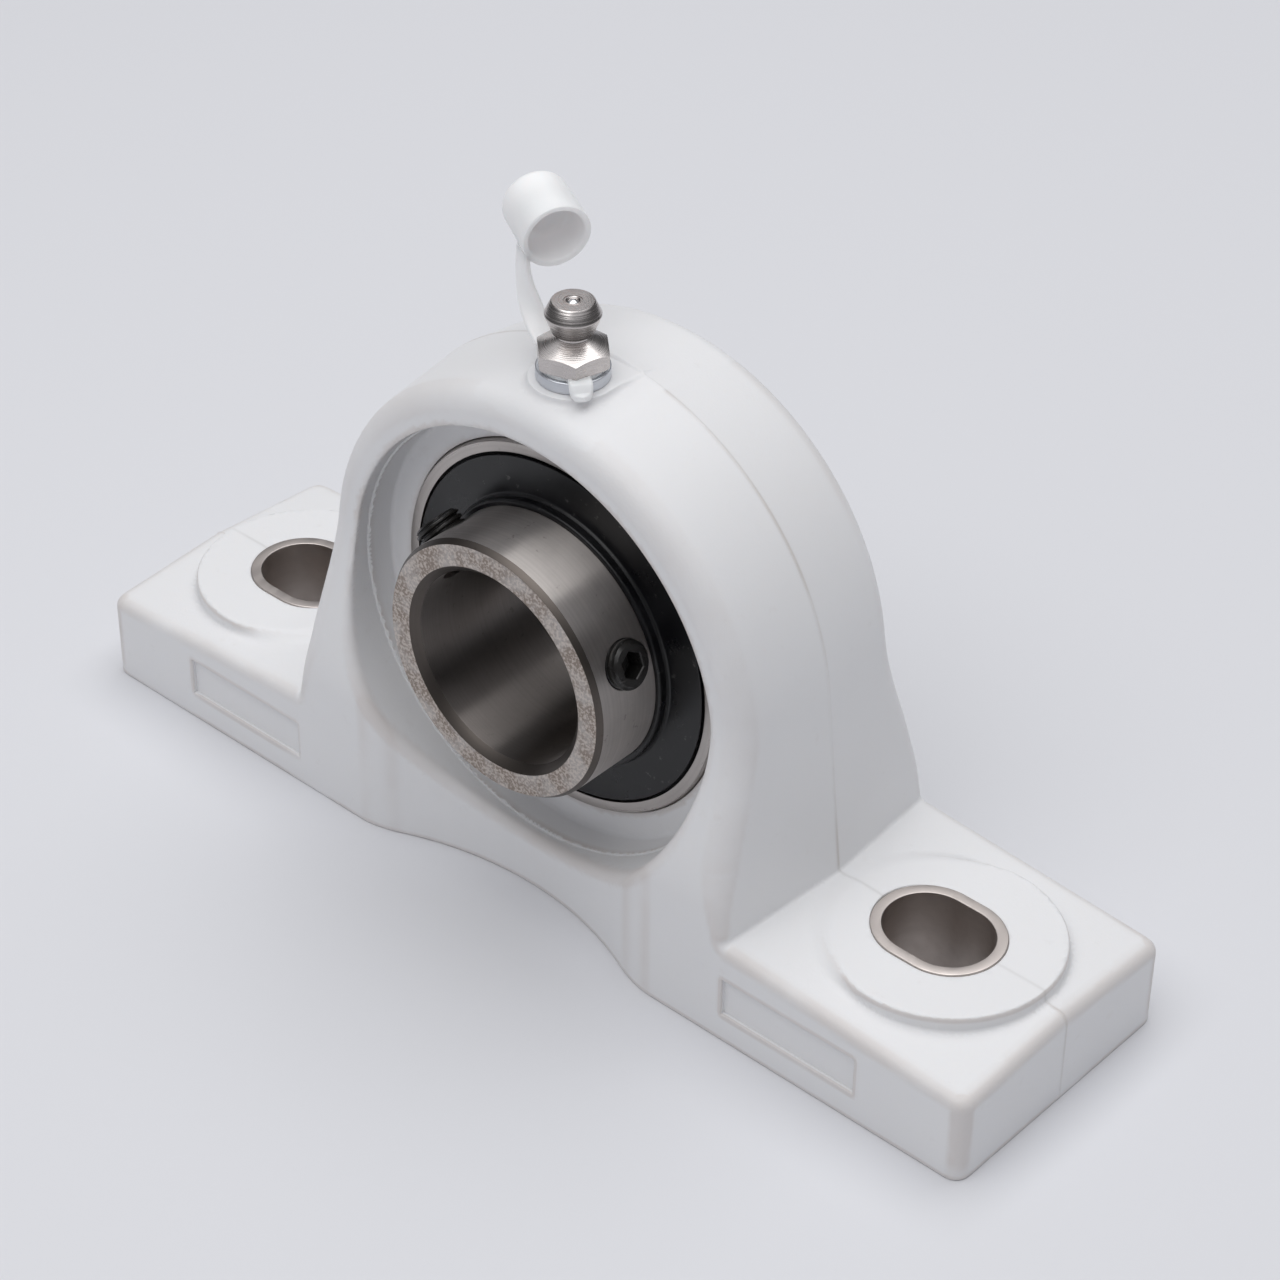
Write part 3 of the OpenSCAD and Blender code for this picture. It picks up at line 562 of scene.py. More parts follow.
def housing_distance(sizes):
    """Distance function of the moulded housing"""
    half_length, half_width, half_arch, slot_x = half_in_mm(
        sizes, "base_length", "base_width", "arch_width", "slot_pitch")
    foot_height, corner, foot_edge, seam, arch_radius, arch_edge = in_mm(
        sizes, "foot_height", "corner_radius", "edge_radius", "seam_height", "arch_radius", "arch_edge")
    recess_radius, recess_floor, seat, waist, waist_y, pad_radius, pad_height = in_mm(
        sizes, "recess_radius", "recess_floor", "seat_radius", "waist_radius", "waist_depth", "pad_radius",
        "pad_height")
    bore = AXIS_HEIGHT / MM
    nipple_y, boss_top = NIPPLE_FOOT.y / MM, NIPPLE_FOOT.z / MM
    lean = math.atan(FLANK_SPREAD)
    root_x = arch_radius / math.cos(lean) + FLANK_SPREAD * (bore - foot_height)
    ridge = foot_height + FOOT_FALL * root_x

    def distance(p):
        x, y, z = np.abs(p[0]), p[1], p[2]
        side = np.abs(y)
        rise = z - bore
        from_axis = np.hypot(x, rise)

        # Arch and feet
        share = np.clip((FLARE_TOP - z) / (FLARE_TOP - FLARE_FOOT), 0, 1)
        share = share * share * (3 - 2 * share)
        half = half_arch + (half_width - half_arch) * share
        on_arc = rise * math.cos(lean) >= x * math.sin(lean)
        arch = np.where(on_arc, from_axis, x * math.cos(lean) + rise * math.sin(lean))
        arch = (arch - arch_radius + DRAFT * side) / math.hypot(1, DRAFT)
        foot = (z - ridge + FOOT_FALL * x + FOOT_SIDE_FALL * side) / FOOT_SLOPE
        parting = seam * np.exp(-(y / SEAM_WIDTH) ** 2)
        outline = either(arch, foot, ROOT_FILLET) - parting
        qx, qy = x - half_length + corner, side - half + corner
        plan = np.hypot(np.maximum(qx, 0), np.maximum(qy, 0)) + np.minimum(np.maximum(qx, qy), 0)
        plan = plan - corner - parting
        edge = foot_edge + (arch_edge - foot_edge) * np.clip((z - EDGE_FROM) / EDGE_SPAN, 0, 1)
        solid = both(plan, outline, edge)

        # Raised pads round the bolt slots
        soft = PAD_FILLET - PAD_FILLET_FALL * np.clip((x - slot_x + PAD_FILLET_SPAN) / PAD_FILLET_SPAN, 0, 1)
        pad = both(np.hypot(x - slot_x - PAD_SHIFT, y) - pad_radius, z - pad_height, soft)
        solid = either(solid, pad, soft)

        # Boss under the grease nipple, and the clear space above it
        boss_side = np.hypot(x, np.minimum(y - nipple_y, 0)) - BOSS_RADIUS
        boss_back = (y + BOSS_BACK[0] * (z - boss_top)) / BOSS_BACK[1]
        clear_back = (y + CLEAR_BACK[0] * (z - boss_top)) / CLEAR_BACK[1]
        boss = both(np.maximum(boss_side, boss_back), z - boss_top, BOSS_EDGE)
        boss = np.maximum(boss, boss_top - BOSS_DEPTH - z)
        solid = either(solid, boss, BOSS_FILLET)
        above = np.maximum(boss_side - CLEAR_MARGIN, np.maximum(clear_back, boss_top - z))

        # Recess in two steps, waist, foot panels, bolt slots, seat, its loading slots and the pin's slot
        recess = both(from_axis - recess_radius, recess_floor - side, RECESS_FILLET)
        recess = np.minimum(recess, np.maximum(from_axis - recess_radius - RECESS_STEP, STEP_Y - side))
        recess_edge = RECESS_EDGE + RECESS_EDGE_GROWTH * np.clip(-rise / RECESS_EDGE_SPAN, 0, 1)
        scoop = np.maximum(np.hypot(x, side - waist_y - waist) - waist, rise + WAIST_DROP)
        panel = np.maximum(np.abs(x - PANEL_X) - PANEL_REACH, np.abs(z - PANEL_Z) - PANEL_RISE)
        panel = np.maximum(panel, half_width - PANEL_DEPTH - side)
        slot = np.hypot(np.maximum(np.abs(x - slot_x) - SLEEVE_REACH, 0), y) - SLEEVE_RADIUS
        ball = np.sqrt(x * x + y * y + rise * rise) - seat
        loading = np.maximum(np.maximum(from_axis - LOADING_RADIUS, np.abs(rise) - LOADING_HALF_HEIGHT), -y)
        pin = np.maximum(np.abs(p[0] + PIN_X) - PIN_HALF_LENGTH, np.abs(rise) - PIN_HALF_HEIGHT)
        pin = np.maximum(pin, -y - PIN_FRONT)
        cuts = (
            (above, CLEAR_EDGE), (recess, recess_edge), (scoop, WAIST_EDGE), (panel, PANEL_EDGE),
            (slot, SLOT_EDGE), (ball, SEAT_EDGE), (loading, LOADING_EDGE), (pin, PIN_EDGE))
        for cut, edge in cuts:
            solid = both(solid, -cut, edge)
        insert = np.hypot(x, y - nipple_y) - INSERT_RADIUS
        solid = np.maximum(solid, -np.maximum(insert, bore + seat - INSERT_OVERLAP - z))
        return both(solid, -z, BASE_EDGE)

    return distance


WEAR_REACH = 0.5
WEAR_GAIN = 1.3
CORNER_WEAR = 0.9
CORNER_SHARE = 0.85
CORNER_FADE = 0.25
CORNER_FROM_Z = 0.5
CORNER_RISE = 2
SEAM_SPREAD = 0.22
SEAM_AT_BOSS = 0.2
BOSS_FROM_Z = 68
BOSS_TO_X = 9
PAD_MARGIN = 0.15
PAD_TO_Z = 15.5
PAD_FROM_X = 38
SEAM_FROM_Z = 0.4
SEAM_FROM_AXIS = 30


def edge_marks(distance, points, sizes):
    """Two masks from 0 to 1: where the moulding's outward edges are scuffed, and its parting line"""
    half_length, half_width = half_in_mm(sizes, "base_length", "base_width")
    corner, pad_height = in_mm(sizes, "corner_radius", "pad_height")
    here = distance(points.T)
    total = np.zeros(len(points))
    for axis in range(3):
        for way in (-WEAR_REACH, WEAR_REACH):
            beside = points.copy()
            beside[:, axis] += way
            total += distance(beside.T) - here
    worn = np.clip(total / WEAR_REACH * WEAR_GAIN, 0, 1)
    x, y, z = np.abs(points[:, 0]), np.abs(points[:, 1]), points[:, 2]
    past = np.minimum(x - half_length, y - half_width) + corner * CORNER_SHARE
    corner_wear = CORNER_WEAR * np.clip(past / CORNER_FADE, 0, 1)
    worn = np.maximum(worn, corner_wear * np.clip((z - CORNER_FROM_Z) / CORNER_RISE, 0, 1))
    at_boss = (z > BOSS_FROM_Z) & (x < BOSS_TO_X)
    on_pad = (z > pad_height - PAD_MARGIN) & (z < PAD_TO_Z) & (x > PAD_FROM_X)
    worn[on_pad | at_boss] = 0
    from_axis = np.hypot(x, z - AXIS_HEIGHT / MM)
    seam = np.exp(-(y / SEAM_SPREAD) ** 2) * ((z > SEAM_FROM_Z) & (from_axis > SEAM_FROM_AXIS))
    seam[at_boss] *= SEAM_AT_BOSS
    return worn, seam


FINE_STEP = 0.25


class BEARING_OT_housing(bpy.types.Operator):
    """Build the moulded housing"""
    bl_idname = "bearing.housing"
    bl_label = "Housing"

    def execute(self, context):
        sizes = context.scene.bearing_housing
        distance = housing_distance(sizes)
        mesh, points = solid_mesh("housing_moulding", distance, self.lines(sizes))
        worn, seam = edge_marks(distance, points, sizes)
        mark_mesh(mesh, "POINT", edge=worn, seam=seam)
        material = moulding_material("moulded_thermoplastic", context.scene.bearing_colours)
        new_piece("housing_moulding", mesh, material, "base", ["housing"])
        return {"FINISHED"}

    def lines(self, sizes):
        """The mesh's grid along X, Y and Z, closer together where the moulding has an edge or a step"""
        half_length, half_width = half_in_mm(sizes, "base_length", "base_width")
        step, foot_height = in_mm(sizes, "mesh_step", "foot_height")
        step *= 1
        top = NIPPLE_FOOT.z / MM
        x = grid_line(step / 2, half_length + 0.6, step * 1.25, [
            (0, 38, step), (PANEL_X - PANEL_REACH, 0.6, FINE_STEP), (PANEL_X + PANEL_REACH, 0.6, FINE_STEP),
            (half_length, 0.6, 0.4)])
        y = grid_line(0.06, half_width + 0.6, step, [
            (0.2, 0.25, 0.12), (half_width - 0.3, 0.8, FINE_STEP), (8, 0.5, FINE_STEP),
            (STEP_Y, 0.3, FINE_STEP)])
        z = grid_line(-0.31, top + 0.9, step, [
            (0, 0.4, 0.2), (PANEL_Z - PANEL_RISE, 0.6, FINE_STEP), (PANEL_Z + PANEL_RISE, 0.6, FINE_STEP),
            (foot_height - 0.4, 0.6, 0.35), (top, 0.5, FINE_STEP)])
        return mirrored_line(x), mirrored_line(y), z


# Materials

ALONG_SHAFT = (0.0, 1.0, 0.0)
UPRIGHT = (0.0, 0.0, 1.0)
SHAFT_CENTRE = (0.0, 0.0, AXIS_HEIGHT)
MIX_SHARE, MIX_FIRST, MIX_SECOND, MIX_RESULT = 0, 6, 7, 2


def feed(tree, socket, value):
    """Sets a socket to a value, or links another node's output to it"""
    if isinstance(value, bpy.types.NodeSocket):
        tree.links.new(value, socket)
    else:
        socket.default_value = value


def new_node(tree, kind, inputs=(), **settings):
    """Adds a node; an input is a value or another node's output"""
    made = tree.nodes.new(kind)
    for name, value in settings.items():
        setattr(made, name, value)
    for name, value in dict(inputs).items():
        feed(tree, made.inputs[name], value)
    return made


def new_group(name, inputs, outputs):
    """A shader node group with named inputs, each with a default, and named outputs"""
    group = bpy.data.node_groups.new(name, "ShaderNodeTree")
    for label, kind, value in inputs:
        made = group.interface.new_socket(label, in_out="INPUT", socket_type=kind)
        made.default_value = value
    for label in outputs:
        group.interface.new_socket(label, in_out="OUTPUT", socket_type="NodeSocketFloat")
    return group, group.nodes.new("NodeGroupInput").outputs, group.nodes.new("NodeGroupOutput").inputs


def mixed(tree, share, first, second):
    """A colour between two colours"""
    made = new_node(tree, "ShaderNodeMix", data_type="RGBA")
    feed(tree, made.inputs[MIX_SHARE], share)
    for index, value in ((MIX_FIRST, first), (MIX_SECOND, second)):
        is_socket = isinstance(value, bpy.types.NodeSocket)
        feed(tree, made.inputs[index], value if is_socket else (*value[:3], 1))
    return made.outputs[MIX_RESULT]


def layered(tree, colour, *coats):
    """A colour with coats over it, each a share and a colour"""
    for share, coat in coats:
        colour = mixed(tree, share, colour, coat)
    return colour


def ranged(tree, value, low, high, to_low=0.0, to_high=1.0):
    """A value carried from one range to another"""
    return new_node(tree, "ShaderNodeMapRange", {
        "Value": value, "From Min": low, "From Max": high, "To Min": to_low, "To Max": to_high}).outputs[0]


def maths(tree, operation, a, b=0.0):
    """A value computed from one or two others"""
    return new_node(tree, "ShaderNodeMath", {0: a, 1: b}, operation=operation).outputs[0]


def times(tree, a, b):
    """The product of two values"""
    return maths(tree, "MULTIPLY", a, b)


def mask(tree, name):
    """A mask that is stored on the mesh"""
    return new_node(tree, "ShaderNodeAttribute", attribute_name=name).outputs["Fac"]


def darker(colour, share):
    """A colour with a share of its brightness"""
    return tuple(c * share for c in colour)


def surface_grain():
    """Group: fine grain, broad patches and sparse specks of a surface, from Object coordinates"""
    found = bpy.data.node_groups.get("surface_grain")
    if found:
        return found
    sizes = (("Grain Size", 1500.0), ("Patch Size", 60.0), ("Speck Size", 260.0))
    group, given, out = new_group(
        "surface_grain", [(label, "NodeSocketFloat", value) for label, value in sizes],
        ["Grain", "Patches", "Specks"])
    place = new_node(group, "ShaderNodeTexCoord").outputs["Object"]
    noises = (("Grain Size", 2.0, 0.55), ("Patch Size", 4.0, 0.55), ("Speck Size", 3.0, 0.6))
    grain, patches, specks = (
        new_node(group, "ShaderNodeTexNoise", {
            "Vector": place, "Scale": given[size], "Detail": detail, "Roughness": roughness}).outputs["Fac"]
        for size, detail, roughness in noises)
    feed(group, out["Grain"], grain)
    feed(group, out["Patches"], patches)
    feed(group, out["Specks"], ranged(group, specks, 0.66, 0.74))
    return group


def machined_lines():
    """Group: fine lines that a grinding wheel or lathe leaves round an axis, from Object coordinates"""
    found = bpy.data.node_groups.get("machined_lines")
    if found:
        return found
    group, given, out = new_group("machined_lines", [
        ("Centre", "NodeSocketVector", (0.0, 0.0, 0.0)), ("Axis", "NodeSocketVector", ALONG_SHAFT),
        ("Line Size", "NodeSocketFloat", 4000.0)], ["Lines"])
    place = new_node(group, "ShaderNodeTexCoord").outputs["Object"]
    spot = new_node(group, "ShaderNodeVectorMath", {0: place, 1: given["Centre"]},
                    operation="SUBTRACT").outputs[0]
    along = new_node(group, "ShaderNodeVectorMath", {0: spot, 1: given["Axis"]},
                     operation="DOT_PRODUCT").outputs["Value"]
    reach = new_node(group, "ShaderNodeVectorMath", {0: spot}, operation="LENGTH").outputs["Value"]
    square = maths(group, "SUBTRACT", times(group, reach, reach), times(group, along, along))
    radius = maths(group, "SQRT", maths(group, "MAXIMUM", square, 0.0))
    fine = new_node(group, "ShaderNodeTexNoise", {
        "Vector": new_node(group, "ShaderNodeCombineXYZ", {0: along, 1: radius}).outputs[0],
        "Scale": given["Line Size"], "Detail": 2.0}, noise_dimensions="2D")
    feed(group, out["Lines"], fine.outputs["Fac"])
    return group


def grained(tree, grain_size, patch_size, speck_size):
    """Places the surface grain in a material: its grain, patches and specks"""
    outputs = new_node(tree, "ShaderNodeGroup", {
        "Grain Size": grain_size, "Patch Size": patch_size, "Speck Size": speck_size},
        node_tree=surface_grain()).outputs
    return outputs["Grain"], outputs["Patches"], outputs["Specks"]


def turned(tree, centre, axis, line_size):
    """Places the machined lines in a material"""
    return new_node(tree, "ShaderNodeGroup", {"Centre": centre, "Axis": axis, "Line Size": line_size},
                    node_tree=machined_lines()).outputs["Lines"]


def built_once(build):
    """Gives the material of a name, and builds it first where there is none"""
    def get(name, *values, **settings):
        return bpy.data.materials.get(name) or build(name, *values, **settings)
    return get


def new_material(name):
    """A material with a Principled shader, and its node tree"""
    made = bpy.data.materials.new(name)
    made.use_nodes = True
    return made, made.node_tree


def finished(material, sockets, height, strength, depth):
    """Feeds a material's shader, and its normal from a bump whose height comes from nodes"""
    tree = material.node_tree
    bump = new_node(tree, "ShaderNodeBump", {"Height": height, "Strength": strength, "Distance": depth})
    for name, value in {**sockets, "Normal": bump.outputs[0]}.items():
        feed(tree, tree.nodes["Principled BSDF"].inputs[name], value)
    return material


@built_once
def moulding_material(name, colours):
    """Satin off-white thermoplastic with warm edges and a parting line"""
    material, tree = new_material(name)
    grain, patches, specks = grained(tree, 2600.0, 45.0, 330.0)
    worn = times(tree, mask(tree, "edge"), ranged(tree, patches, 0.38, 0.6, 0.12, 0.85))
    seam = times(tree, mask(tree, "seam"), ranged(tree, patches, 0.4, 0.6, 0.05, 0.4))
    colour = layered(
        tree, colours.moulding,
        (ranged(tree, patches, 0.3, 0.7, 0.0, 0.05), (0.70, 0.69, 0.69)),
        (seam, (0.52, 0.51, 0.50)),
        (maths(tree, "MINIMUM", worn, 0.42), colours.moulding_edge),
        (times(tree, specks, 0.06), (0.45, 0.38, 0.34)))
    return finished(material, {
        "Base Color": colour, "Roughness": ranged(tree, grain, 0.3, 0.7, 0.42, 0.52),
        "Specular IOR Level": 0.45, "Subsurface Weight": 0.12, "Subsurface Radius": (1.0, 0.9, 0.8),
        "Subsurface Scale": 0.0015}, grain, 0.25, 0.00006)


@built_once
def metal_material(name, colour, roughness, axis=ALONG_SHAFT, centre=SHAFT_CENTRE, relief=0.3,
                   line_size=3500.0, dark=0.6, speck_share=0.15, grain_size=2200.0):
    """Bare metal with machining lines, faint stains and specks"""
    material, tree = new_material(name)
    grain, patches, specks = grained(tree, grain_size, 90.0, 700.0)
    lines = turned(tree, centre, axis, line_size)
    shaded = darker(colour, dark)
    colour = layered(
        tree, colour,
        (ranged(tree, patches, 0.35, 0.75), shaded),
        (ranged(tree, lines, 0.45, 0.75, 0.0, 0.35), shaded),
        (times(tree, specks, speck_share), (0.10, 0.08, 0.06)))
    rough = maths(tree, "ADD", ranged(tree, lines, 0.3, 0.7, roughness - 0.06, roughness + 0.06),
                  ranged(tree, patches, 0.4, 0.7, 0.0, 0.08))
    height = maths(tree, "ADD", lines, times(tree, grain, 0.35))
    return finished(material, {
        "Base Color": colour, "Roughness": rough, "Metallic": 1}, height, relief, 0.00003)


@built_once
def coated_material(name, colour, roughness, worn, specular=0.5, metallic=0.0, relief=0.3):
    """Lacquer, oxide or rubber: an even dark coat with dust, rub marks and fine grain"""
    material, tree = new_material(name)
    grain, patches, specks = grained(tree, 3500.0, 140.0, 900.0)
    colour = layered(
        tree, colour,
        (ranged(tree, patches, 0.5, 0.75, 0.0, 0.5), worn),
        (times(tree, specks, 0.25), (0.25, 0.24, 0.23)))
    return finished(material, {
        "Base Color": colour, "Specular IOR Level": specular, "Metallic": metallic,
        "Roughness": ranged(tree, patches, 0.3, 0.7, roughness - 0.05, roughness + 0.08)},
        grain, relief, 0.00004)


@built_once
def ring_material(name, colours):
    """Ground steel whose front face is mottled with tan stains, whose chamfers are dark and whose bore is
    darkened with painted shade
    """
    material, tree = new_material(name)
    grain, patches, specks = grained(tree, 2600.0, 260.0, 800.0)
    lines = turned(tree, SHAFT_CENTRE, ALONG_SHAFT, 2600.0)
    face, chamfer, bore = (mask(tree, part) for part in ("face", "chamfer", "bore"))
    colour = layered(
        tree, colours.ring,
        (ranged(tree, lines, 0.4, 0.65), darker(colours.ring, 0.93)),
        (ranged(tree, patches, 0.45, 0.7, 0.0, 0.5), darker(colours.ring, 0.75)),
        (times(tree, face, ranged(tree, patches, 0.4, 0.56, 0.1, 0.8)), colours.ring_stain),
        (times(tree, face, ranged(tree, grain, 0.45, 0.6, 0.0, 0.7)), (0.62, 0.56, 0.51)),
        (times(tree, specks, 0.4), (0.06, 0.05, 0.04)),
        # painted shade: the whole bore is darkened to stand in for the shade inside the hole
        (times(tree, bore, 0.6), (0.14, 0.12, 0.11)),
        (times(tree, chamfer, 0.9), (0.07, 0.058, 0.05)))
    rough = maths(tree, "ADD", ranged(tree, lines, 0.3, 0.7, 0.36, 0.42), times(tree, face, 0.03))
    ends = maths(tree, "MAXIMUM", face, chamfer)
    tangent = new_node(tree, "ShaderNodeVectorTransform", {0: ALONG_SHAFT}, vector_type="VECTOR",
                       convert_from="OBJECT", convert_to="WORLD").outputs[0]
    height = maths(tree, "ADD", times(tree, lines, 0.35), times(tree, times(tree, face, grain), 1.6))
    return finished(material, {
        "Base Color": colour, "Roughness": rough, "Metallic": 1, "Tangent": tangent,
        "Anisotropic": maths(tree, "SUBTRACT", 1.0, ends)}, height, 0.1, 0.00003)


@built_once
def cap_material(name, colours):
    """Soft translucent white plastic of the dust cap and its strap"""
    material, tree = new_material(name)
    grain, patches = grained(tree, 2400.0, 180.0, 600.0)[:2]
    colour = mixed(tree, ranged(tree, patches, 0.4, 0.7, 0.0, 0.3), colours.cap, (0.94, 0.91, 0.905))
    return finished(material, {
        "Base Color": colour, "Roughness": ranged(tree, grain, 0.3, 0.7, 0.36, 0.46),
        "Subsurface Weight": 0.6, "Subsurface Radius": (1.0, 0.88, 0.85), "Subsurface Scale": 0.0035},
        grain, 0.2, 0.00005)


# Bearing, in millimetres

GROOVE_RADIUS = 4.128
GROOVE_INNER = 19.639
GROOVE_OUTER = 19.361
OUTER_LAND = 22.2
SEAL_SEAT = 23.2
SEAL_DEPTH = 1.95
GREASE_GROOVE = (4.7, 6.5, 0.5)
SPHERE_STEPS = 34
HOLE_PLAY = 0.04
SCREW_STAND = 1.2
END_DEPTH = 1.05
FACE_STEEP = 0.93
BORE_STEEP = 0.35
THREAD_DEPTH = 0.42
THREAD_STEPS = 84
THREAD_POINTS = 72
POINT_CHAMFER = 0.75
HEAD_CHAMFER = 0.5
SOCKET_FLATS = 3.0
SOCKET_DEPTH = 2.4


def groove(centre, radius, land, way, count=16):
    """Corners of a ball groove cut into a land, from one edge to the other; way is its first height's sign"""
    reach = math.sqrt(radius ** 2 - (land - centre) ** 2)
    outward = math.copysign(1, land - centre)
    heights = [way * reach * math.cos(math.pi * k / count) for k in range(count + 1)]
    return [(centre + outward * math.sqrt(radius ** 2 - h ** 2), h, 0) for h in heights]


def screw_place(sizes, angle, lift=0):
    """Frame of a set screw: its outer end at the origin, Z pointing outwards"""
    out = Vector((math.cos(angle), 0, math.sin(angle)))
    reach = sizes.inner_diameter / 2 + SCREW_STAND * MM + lift
    side = Vector((0, 1, 0))
    turn_to = Matrix((side, out.cross(side), out)).transposed().to_4x4()
    return Matrix.Translation(out * reach + Vector((0, -sizes.screw_distance, AXIS_HEIGHT))) @ turn_to


class BEARING_OT_inner_ring(bpy.types.Operator):
    """Build the extended inner ring with its two tapped holes"""
    bl_idname = "bearing.inner_ring"
    bl_label = "Inner Ring"

    def execute(self, context):
        sizes = context.scene.bearing_insert
        bore, outside, hole = half_in_mm(sizes, "bore", "inner_diameter", "screw_diameter")
        front, rear = in_mm(sizes, "inner_front", "inner_rear")
        hole += HOLE_PLAY
        corners = [
            (bore, -rear + 1, 0.05), (bore + 1, -rear, 0.05), (outside - 0.6, -rear, 0.06),
            (outside, -rear + 0.6, 0.06), *groove(GROOVE_INNER, GROOVE_RADIUS, outside, -1),
            (outside, front - 0.75, 0.06), (outside - 0.5, front, 0.06), (bore + 1, front, 0.05),
            (bore, front - 1, 0.05)]
        drill = [(0, -30, 0), (hole, -30, 0), (hole, -1.45, 0), (hole + 1.2, -0.25, 0), (0, -0.25, 0)]
        mesh = lathe("inner_ring_body", corners, FRONT, segments=240, crease=25)
        mesh = cut_with(mesh, [
            lathe("hole", drill, screw_place(sizes, angle), segments=72, steps=1)
            for angle in (sizes.screw_turn, sizes.screw_turn + SCREW_SPREAD)])
        normal, centre = np.empty((2, len(mesh.polygons) * 3), np.float32)
        mesh.polygons.foreach_get("normal", normal)
        mesh.polygons.foreach_get("center", centre)
        x, y, z = centre.reshape(-1, 3).T
        steep = np.abs(normal.reshape(-1, 3)[:, 1])
        ends = (y < -(front - END_DEPTH) * MM) | (y > (rear - END_DEPTH) * MM)
        # bore marks the shaft bore, which the ring's material darkens with painted shade
        mark_mesh(mesh, "FACE", face=ends & (steep > FACE_STEEP),
                  chamfer=ends & (steep > BORE_STEEP) & (steep <= FACE_STEEP),
                  bore=(steep <= BORE_STEEP) & (np.hypot(x, z - AXIS_HEIGHT) < (bore + 0.05) * MM))
        material = ring_material("ground_ring", context.scene.bearing_colours)
        new_piece("inner_ring_ground", mesh, material, "inner", ["inner_ring"])
        return {"FINISHED"}


class BEARING_OT_outer_ring(bpy.types.Operator):
    """Build the spherical outer ring"""
    bl_idname = "bearing.outer_ring"
    bl_label = "Outer Ring"

    def execute(self, context):
        sizes = context.scene.bearing_insert
        outer, half = half_in_mm(sizes, "outer_diameter", "outer_width")
        low, high, depth = GREASE_GROOVE
        sphere = []
        for k in range(SPHERE_STEPS + 1):
            h = -half + 2 * half * k / SPHERE_STEPS
            r = math.sqrt(outer ** 2 - h ** 2)
            sphere.append((r - (depth if low < h < high else 0), h, 0.12 if k in (0, SPHERE_STEPS) else 0))
        corners = [
            (SEAL_SEAT, -half, 0.1), *sphere, (SEAL_SEAT, half, 0.1), (SEAL_SEAT, half - SEAL_DEPTH, 0),
            (OUTER_LAND, half - SEAL_DEPTH, 0), *groove(GROOVE_OUTER, GROOVE_RADIUS, OUTER_LAND, 1),
            (OUTER_LAND, -half + SEAL_DEPTH, 0), (SEAL_SEAT, -half + SEAL_DEPTH, 0)]
        mesh = lathe("outer_ring_body", corners, FRONT, segments=216)
        material = metal_material("ring_steel_brushed", context.scene.bearing_colours.ring, 0.3, relief=0.15,
                                  line_size=1800.0, dark=0.85)
        new_piece("outer_ring_ground", mesh, material, "outer", ["outer_ring"])
        return {"FINISHED"}


class BEARING_OT_slingers(bpy.types.Operator):
    """Build the two black slinger discs"""
    bl_idname = "bearing.slingers"
    bl_label = "Slingers"

    def execute(self, context):
        outer, inner = in_mm(context.scene.bearing_insert, "slinger_radius", "inner_diameter")
        inner /= 2
        corners = [
            (inner, 8.1, 0), (outer - 0.15, 8.1, 0.1), (outer, 8.25, 0.1), (outer, 8.6, 0.12),
            (inner + 1.0, 8.6, 0.35), (inner + 0.75, 9.0, 0.2), (inner + 0.75, 10.1, 0.5), (inner, 10.1, 0.1)]
        material = coated_material("black_lacquer", context.scene.bearing_colours.slinger, 0.3,
                                   (0.018, 0.018, 0.021), specular=0.4, relief=0.1)
        for end, place in (("front", FRONT), ("rear", REAR)):
            mesh = lathe("slinger_disc_" + end, corners, place, segments=192, steps=8)
            new_piece("slinger_disc_" + end, mesh, material, "inner", ["slinger_" + end])
        return {"FINISHED"}


class BEARING_OT_set_screws(bpy.types.Operator):
    """Build the two threaded hexagon-socket set screws"""
    bl_idname = "bearing.set_screws"
    bl_label = "Set Screws"

    def execute(self, context):
        sizes = context.scene.bearing_insert
        material = coated_material("black_oxide", context.scene.bearing_colours.screw, 0.28,
                                   (0.03, 0.028, 0.025), metallic=0.3)
        rings = self.rings(*in_mm(sizes, "screw_diameter", "screw_length", "thread_pitch"))
        for name, spread, lift in (("side", 0, 0), ("upper", SCREW_SPREAD, sizes.screw_lift)):
            place = screw_place(sizes, sizes.screw_turn + spread, lift)
            mesh = ring_stack("set_screw_" + name, rings, place, 40)
            new_piece("set_screw_thread_" + name, mesh, material, "screw_" + name,
                      ["set_screw_" + name])
        return {"FINISHED"}

    def rings(self, diameter, size, pitch):
        """Rings from the cup point over the thread to the bottom of the socket"""
        radius = diameter / 2
        angles = angles_round(THREAD_POINTS)
        rings = [ring_points(angles, r, h - size) for r, h in ((0.3, 0.55), (1.2, 0.1), (1.45, 0))]
        for k in range(THREAD_STEPS + 1):
            height = -size + size * k / THREAD_STEPS
            most = radius - (max(0, POINT_CHAMFER - (height + size)) + max(0, HEAD_CHAMFER + height))
            reach = []
            for angle in angles:
                phase = (height / pitch - angle / (2 * math.pi)) % 1
                crest = max(0, min(1, 2.3 * (1 - 2 * abs(phase - 0.5)) - 0.3))
                reach.append(min(radius - THREAD_DEPTH * (1 - crest), most))
            rings.append(ring_points(angles, reach, height))
        socket = np.array([hexagon_reach(angle, SOCKET_FLATS) for angle in angles])
        for reach, height in ((radius - 0.62, 0), (socket + 0.12, -0.02), (socket, -0.14),
                              (socket, -SOCKET_DEPTH), (0.2, -SOCKET_DEPTH - 0.5)):
            rings.append(ring_points(angles, reach, height))
        return rings


# Bolt sleeves

